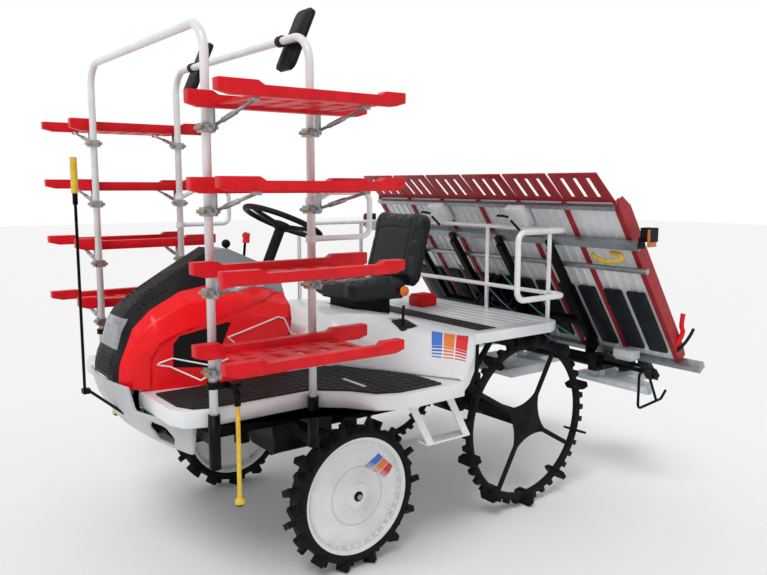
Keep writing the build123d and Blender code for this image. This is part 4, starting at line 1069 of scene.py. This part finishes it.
feedBox = {
    "xs": (-0.225, 0.40),
    "half": 0.06,
    "lowY": 1.119,
    "highY": 1.249,
    "lowZ": 1.448,
    "highZ": 1.508,
    "edge": 0.008,
    "turn": (-55, 0, 0),
    # the two levers of a box, X from its middle
    "levers": [
        [(-0.04, 1.140, 1.470), (-0.07, 1.128, 1.478), (-0.10, 1.122, 1.476)],
        [(-0.01, 1.128, 1.455), (0.01, 1.14, 1.43), (0.03, 1.155, 1.405)],
    ],
    "leverRadius": 0.007,
}
boxes = []
boxLevers = []
for boxX in feedBox["xs"]:
    low = (boxX - feedBox["half"], feedBox["lowY"], feedBox["lowZ"])
    high = (boxX + feedBox["half"], feedBox["highY"], feedBox["highZ"])
    boxes.append(block(low, high, feedBox["edge"], feedBox["turn"]))
    for lever in feedBox["levers"]:
        boxLevers.append(wire([(boxX + x, y, z) for x, y, z in lever], feedBox["leverRadius"]))
close("feedBoxes", boxes, whiteAbs, "seedling_table")
close("feedBoxLevers", boxLevers, blackAbs, "seedling_table")

trayHook = {
    "x": 0.95,
    # X outwards from its middle, then Y and Z
    "route": [
        (-0.17, 1.30, 1.30),
        (-0.13, 1.29, 1.275),
        (-0.05, 1.28, 1.27),
        (0.02, 1.28, 1.285),
        (0.01, 1.29, 1.31),
        (-0.06, 1.30, 1.315),
    ],
    "radius": 0.011,
}
hooks = []
for side in (1, -1):
    route = [(side * (trayHook["x"] + x), y, z) for x, y, z in trayHook["route"]]
    hooks.append(wire(route, trayHook["radius"]))
close("trayHooks", hooks, yellowEnamel, "planter", wireCrease)

lens = {
    "x": 1.115,
    "half": 0.004,
    "lowY": 1.262,
    "highY": 1.326,
    "lowZ": 1.355,
    "highZ": 1.435,
    "edge": 0.003,
}
lenses = []
for side in (1, -1):
    low = (side * lens["x"] - lens["half"], lens["lowY"], lens["lowZ"])
    high = (side * lens["x"] + lens["half"], lens["highY"], lens["highZ"])
    lenses.append(block(low, high, lens["edge"]))
close("lampLenses", lenses, amberLens, "planter")

# Control cables, taut along the planting frame
cableRadius = 0.004
cables = {
    "green": ("2E7D4F", [(0.24, 1.225, 1.16), (0.34, 1.30, 1.02), (0.42, 1.42, 0.90), (0.50, 1.56, 0.80)]),
    "purple": ("6C4A8C", [(0.10, 1.225, 1.10), (0.20, 1.30, 0.96), (0.30, 1.42, 0.86), (0.36, 1.54, 0.76)]),
    "black": ("101012", [(-0.10, 1.225, 1.18), (-0.06, 1.30, 1.04), (0.02, 1.42, 0.92), (0.10, 1.56, 0.78)]),
}
for tone, (hexColour, route) in cables.items():
    # Extruded PVC sleeve over a steel cable: even colour, half dull
    cableSleeve = makeFinish(
        tone + "CableSleeve", hexColour, 0.4, tones=(hexColour, hexColour), patch=20,
        grain=3, bump=(0.1, 0.3), gloss=(0.34, 0.48), IOR=1.5,
    )
    close(tone + "Cable", [wire(route, cableRadius)], cableSleeve, "planter", wireCrease)

# On the lower rail: a pale box, and at its end a red catch with a black lever
railBox = {
    # two corners and the edge radius of each part
    "box": ((0.70, 1.60, 0.728), (0.82, 1.68, 0.778), 0.010),
    "foot": ((0.71, 1.61, 0.720), (0.81, 1.67, 0.732), 0.002),
}
railParts = [block(*measures) for measures in railBox.values()]
close("railBox", railParts, paleFloat, bodyOf["tray_bars"])
endCatch = {
    "catch": [
        (1.012, 1.69, 0.83),
        (1.028, 1.705, 0.867),
        (1.03, 1.725, 0.905),
        (1.03, 1.70, 0.93),
        (1.03, 1.715, 0.995),
    ],
    "catchRadius": 0.012,
    "lever": [(1.012, 1.70, 0.80), (1.05, 1.735, 0.847), (1.055, 1.775, 0.914)],
    "leverRadius": 0.008,
}
catch = wire(endCatch["catch"], endCatch["catchRadius"])
close("endCatch", [catch], redPp, "seedling_table", wireCrease)
lever = wire(endCatch["lever"], endCatch["leverRadius"])
close("endLever", [lever], blackAbs, "seedling_table", wireCrease)

# A pale slot mark on the left mat
matMark = {"low": (0.545, -0.027, 0.820), "high": (0.705, -0.011, 0.8245), "edge": 0.0015}
mark = block(matMark["low"], matMark["high"], matMark["edge"])
close("matMark", [mark], whiteAbs, "chassis")
print("planting unit details made")


# Floor, sky and sun: a white sweep, and light at the level at which a colour shows as written

studio = {
    "floorSize": 60.0,
    "floorColour": "FAFAFA",
    "floorRoughness": 0.9,
    "skyLevel": 0.62,
    "seenLevel": 1.0,
    "sunLevel": 1.25,
    "sunPlace": (0, 0, 6),
    "sunTurn": (34, 12, 20),
    "sunWidth": 25,
}

# The sky lights the machine at one level, and is seen, mirrored and seen through at a brighter one
world = bpy.data.worlds.new("studioSky")
scene.world = world
world.use_nodes = True
white = (1, 1, 1, 1)
lit = world.node_tree.nodes["Background"]
lit.inputs["Color"].default_value = white
lit.inputs["Strength"].default_value = studio["skyLevel"]
seen = addNode(world, "ShaderNodeBackground", {"Color": white, "Strength": studio["seenLevel"]}, {})
rays = addNode(world, "ShaderNodeLightPath", {}, {})
cameraOrGloss = addNode(
    world,
    "ShaderNodeMath",
    {"operation": "MAXIMUM"},
    {0: rays.outputs["Is Camera Ray"], 1: rays.outputs["Is Glossy Ray"]},
)
anyClear = addNode(
    world,
    "ShaderNodeMath",
    {"operation": "MAXIMUM"},
    {0: cameraOrGloss.outputs["Value"], 1: rays.outputs["Is Transmission Ray"]},
)
chooser = addNode(
    world,
    "ShaderNodeMixShader",
    {},
    {"Fac": anyClear.outputs["Value"], 1: lit.outputs["Background"], 2: seen.outputs["Background"]},
)
worldOutput = world.node_tree.nodes["World Output"]
world.node_tree.links.new(chooser.outputs["Shader"], worldOutput.inputs["Surface"])

bpy.ops.object.light_add(
    type="SUN",
    location=studio["sunPlace"],
    rotation=[math.radians(turn) for turn in studio["sunTurn"]],
)
bpy.context.object.data.energy = studio["sunLevel"]
bpy.context.object.data.angle = math.radians(studio["sunWidth"])

bpy.ops.mesh.primitive_plane_add(size=studio["floorSize"], location=(0, 0, 0))
floor = bpy.context.object
floor.name = "studioFloor"
bpy.ops.object.mode_set(mode="EDIT")
bpy.ops.mesh.subdivide(number_cuts=3)
bpy.ops.object.mode_set(mode="OBJECT")
floorPaint = startMaterial("paleFloorPaint", studio["floorColour"], studio["floorRoughness"])[0]
floor.data.materials.append(floorPaint)
print("studio made")
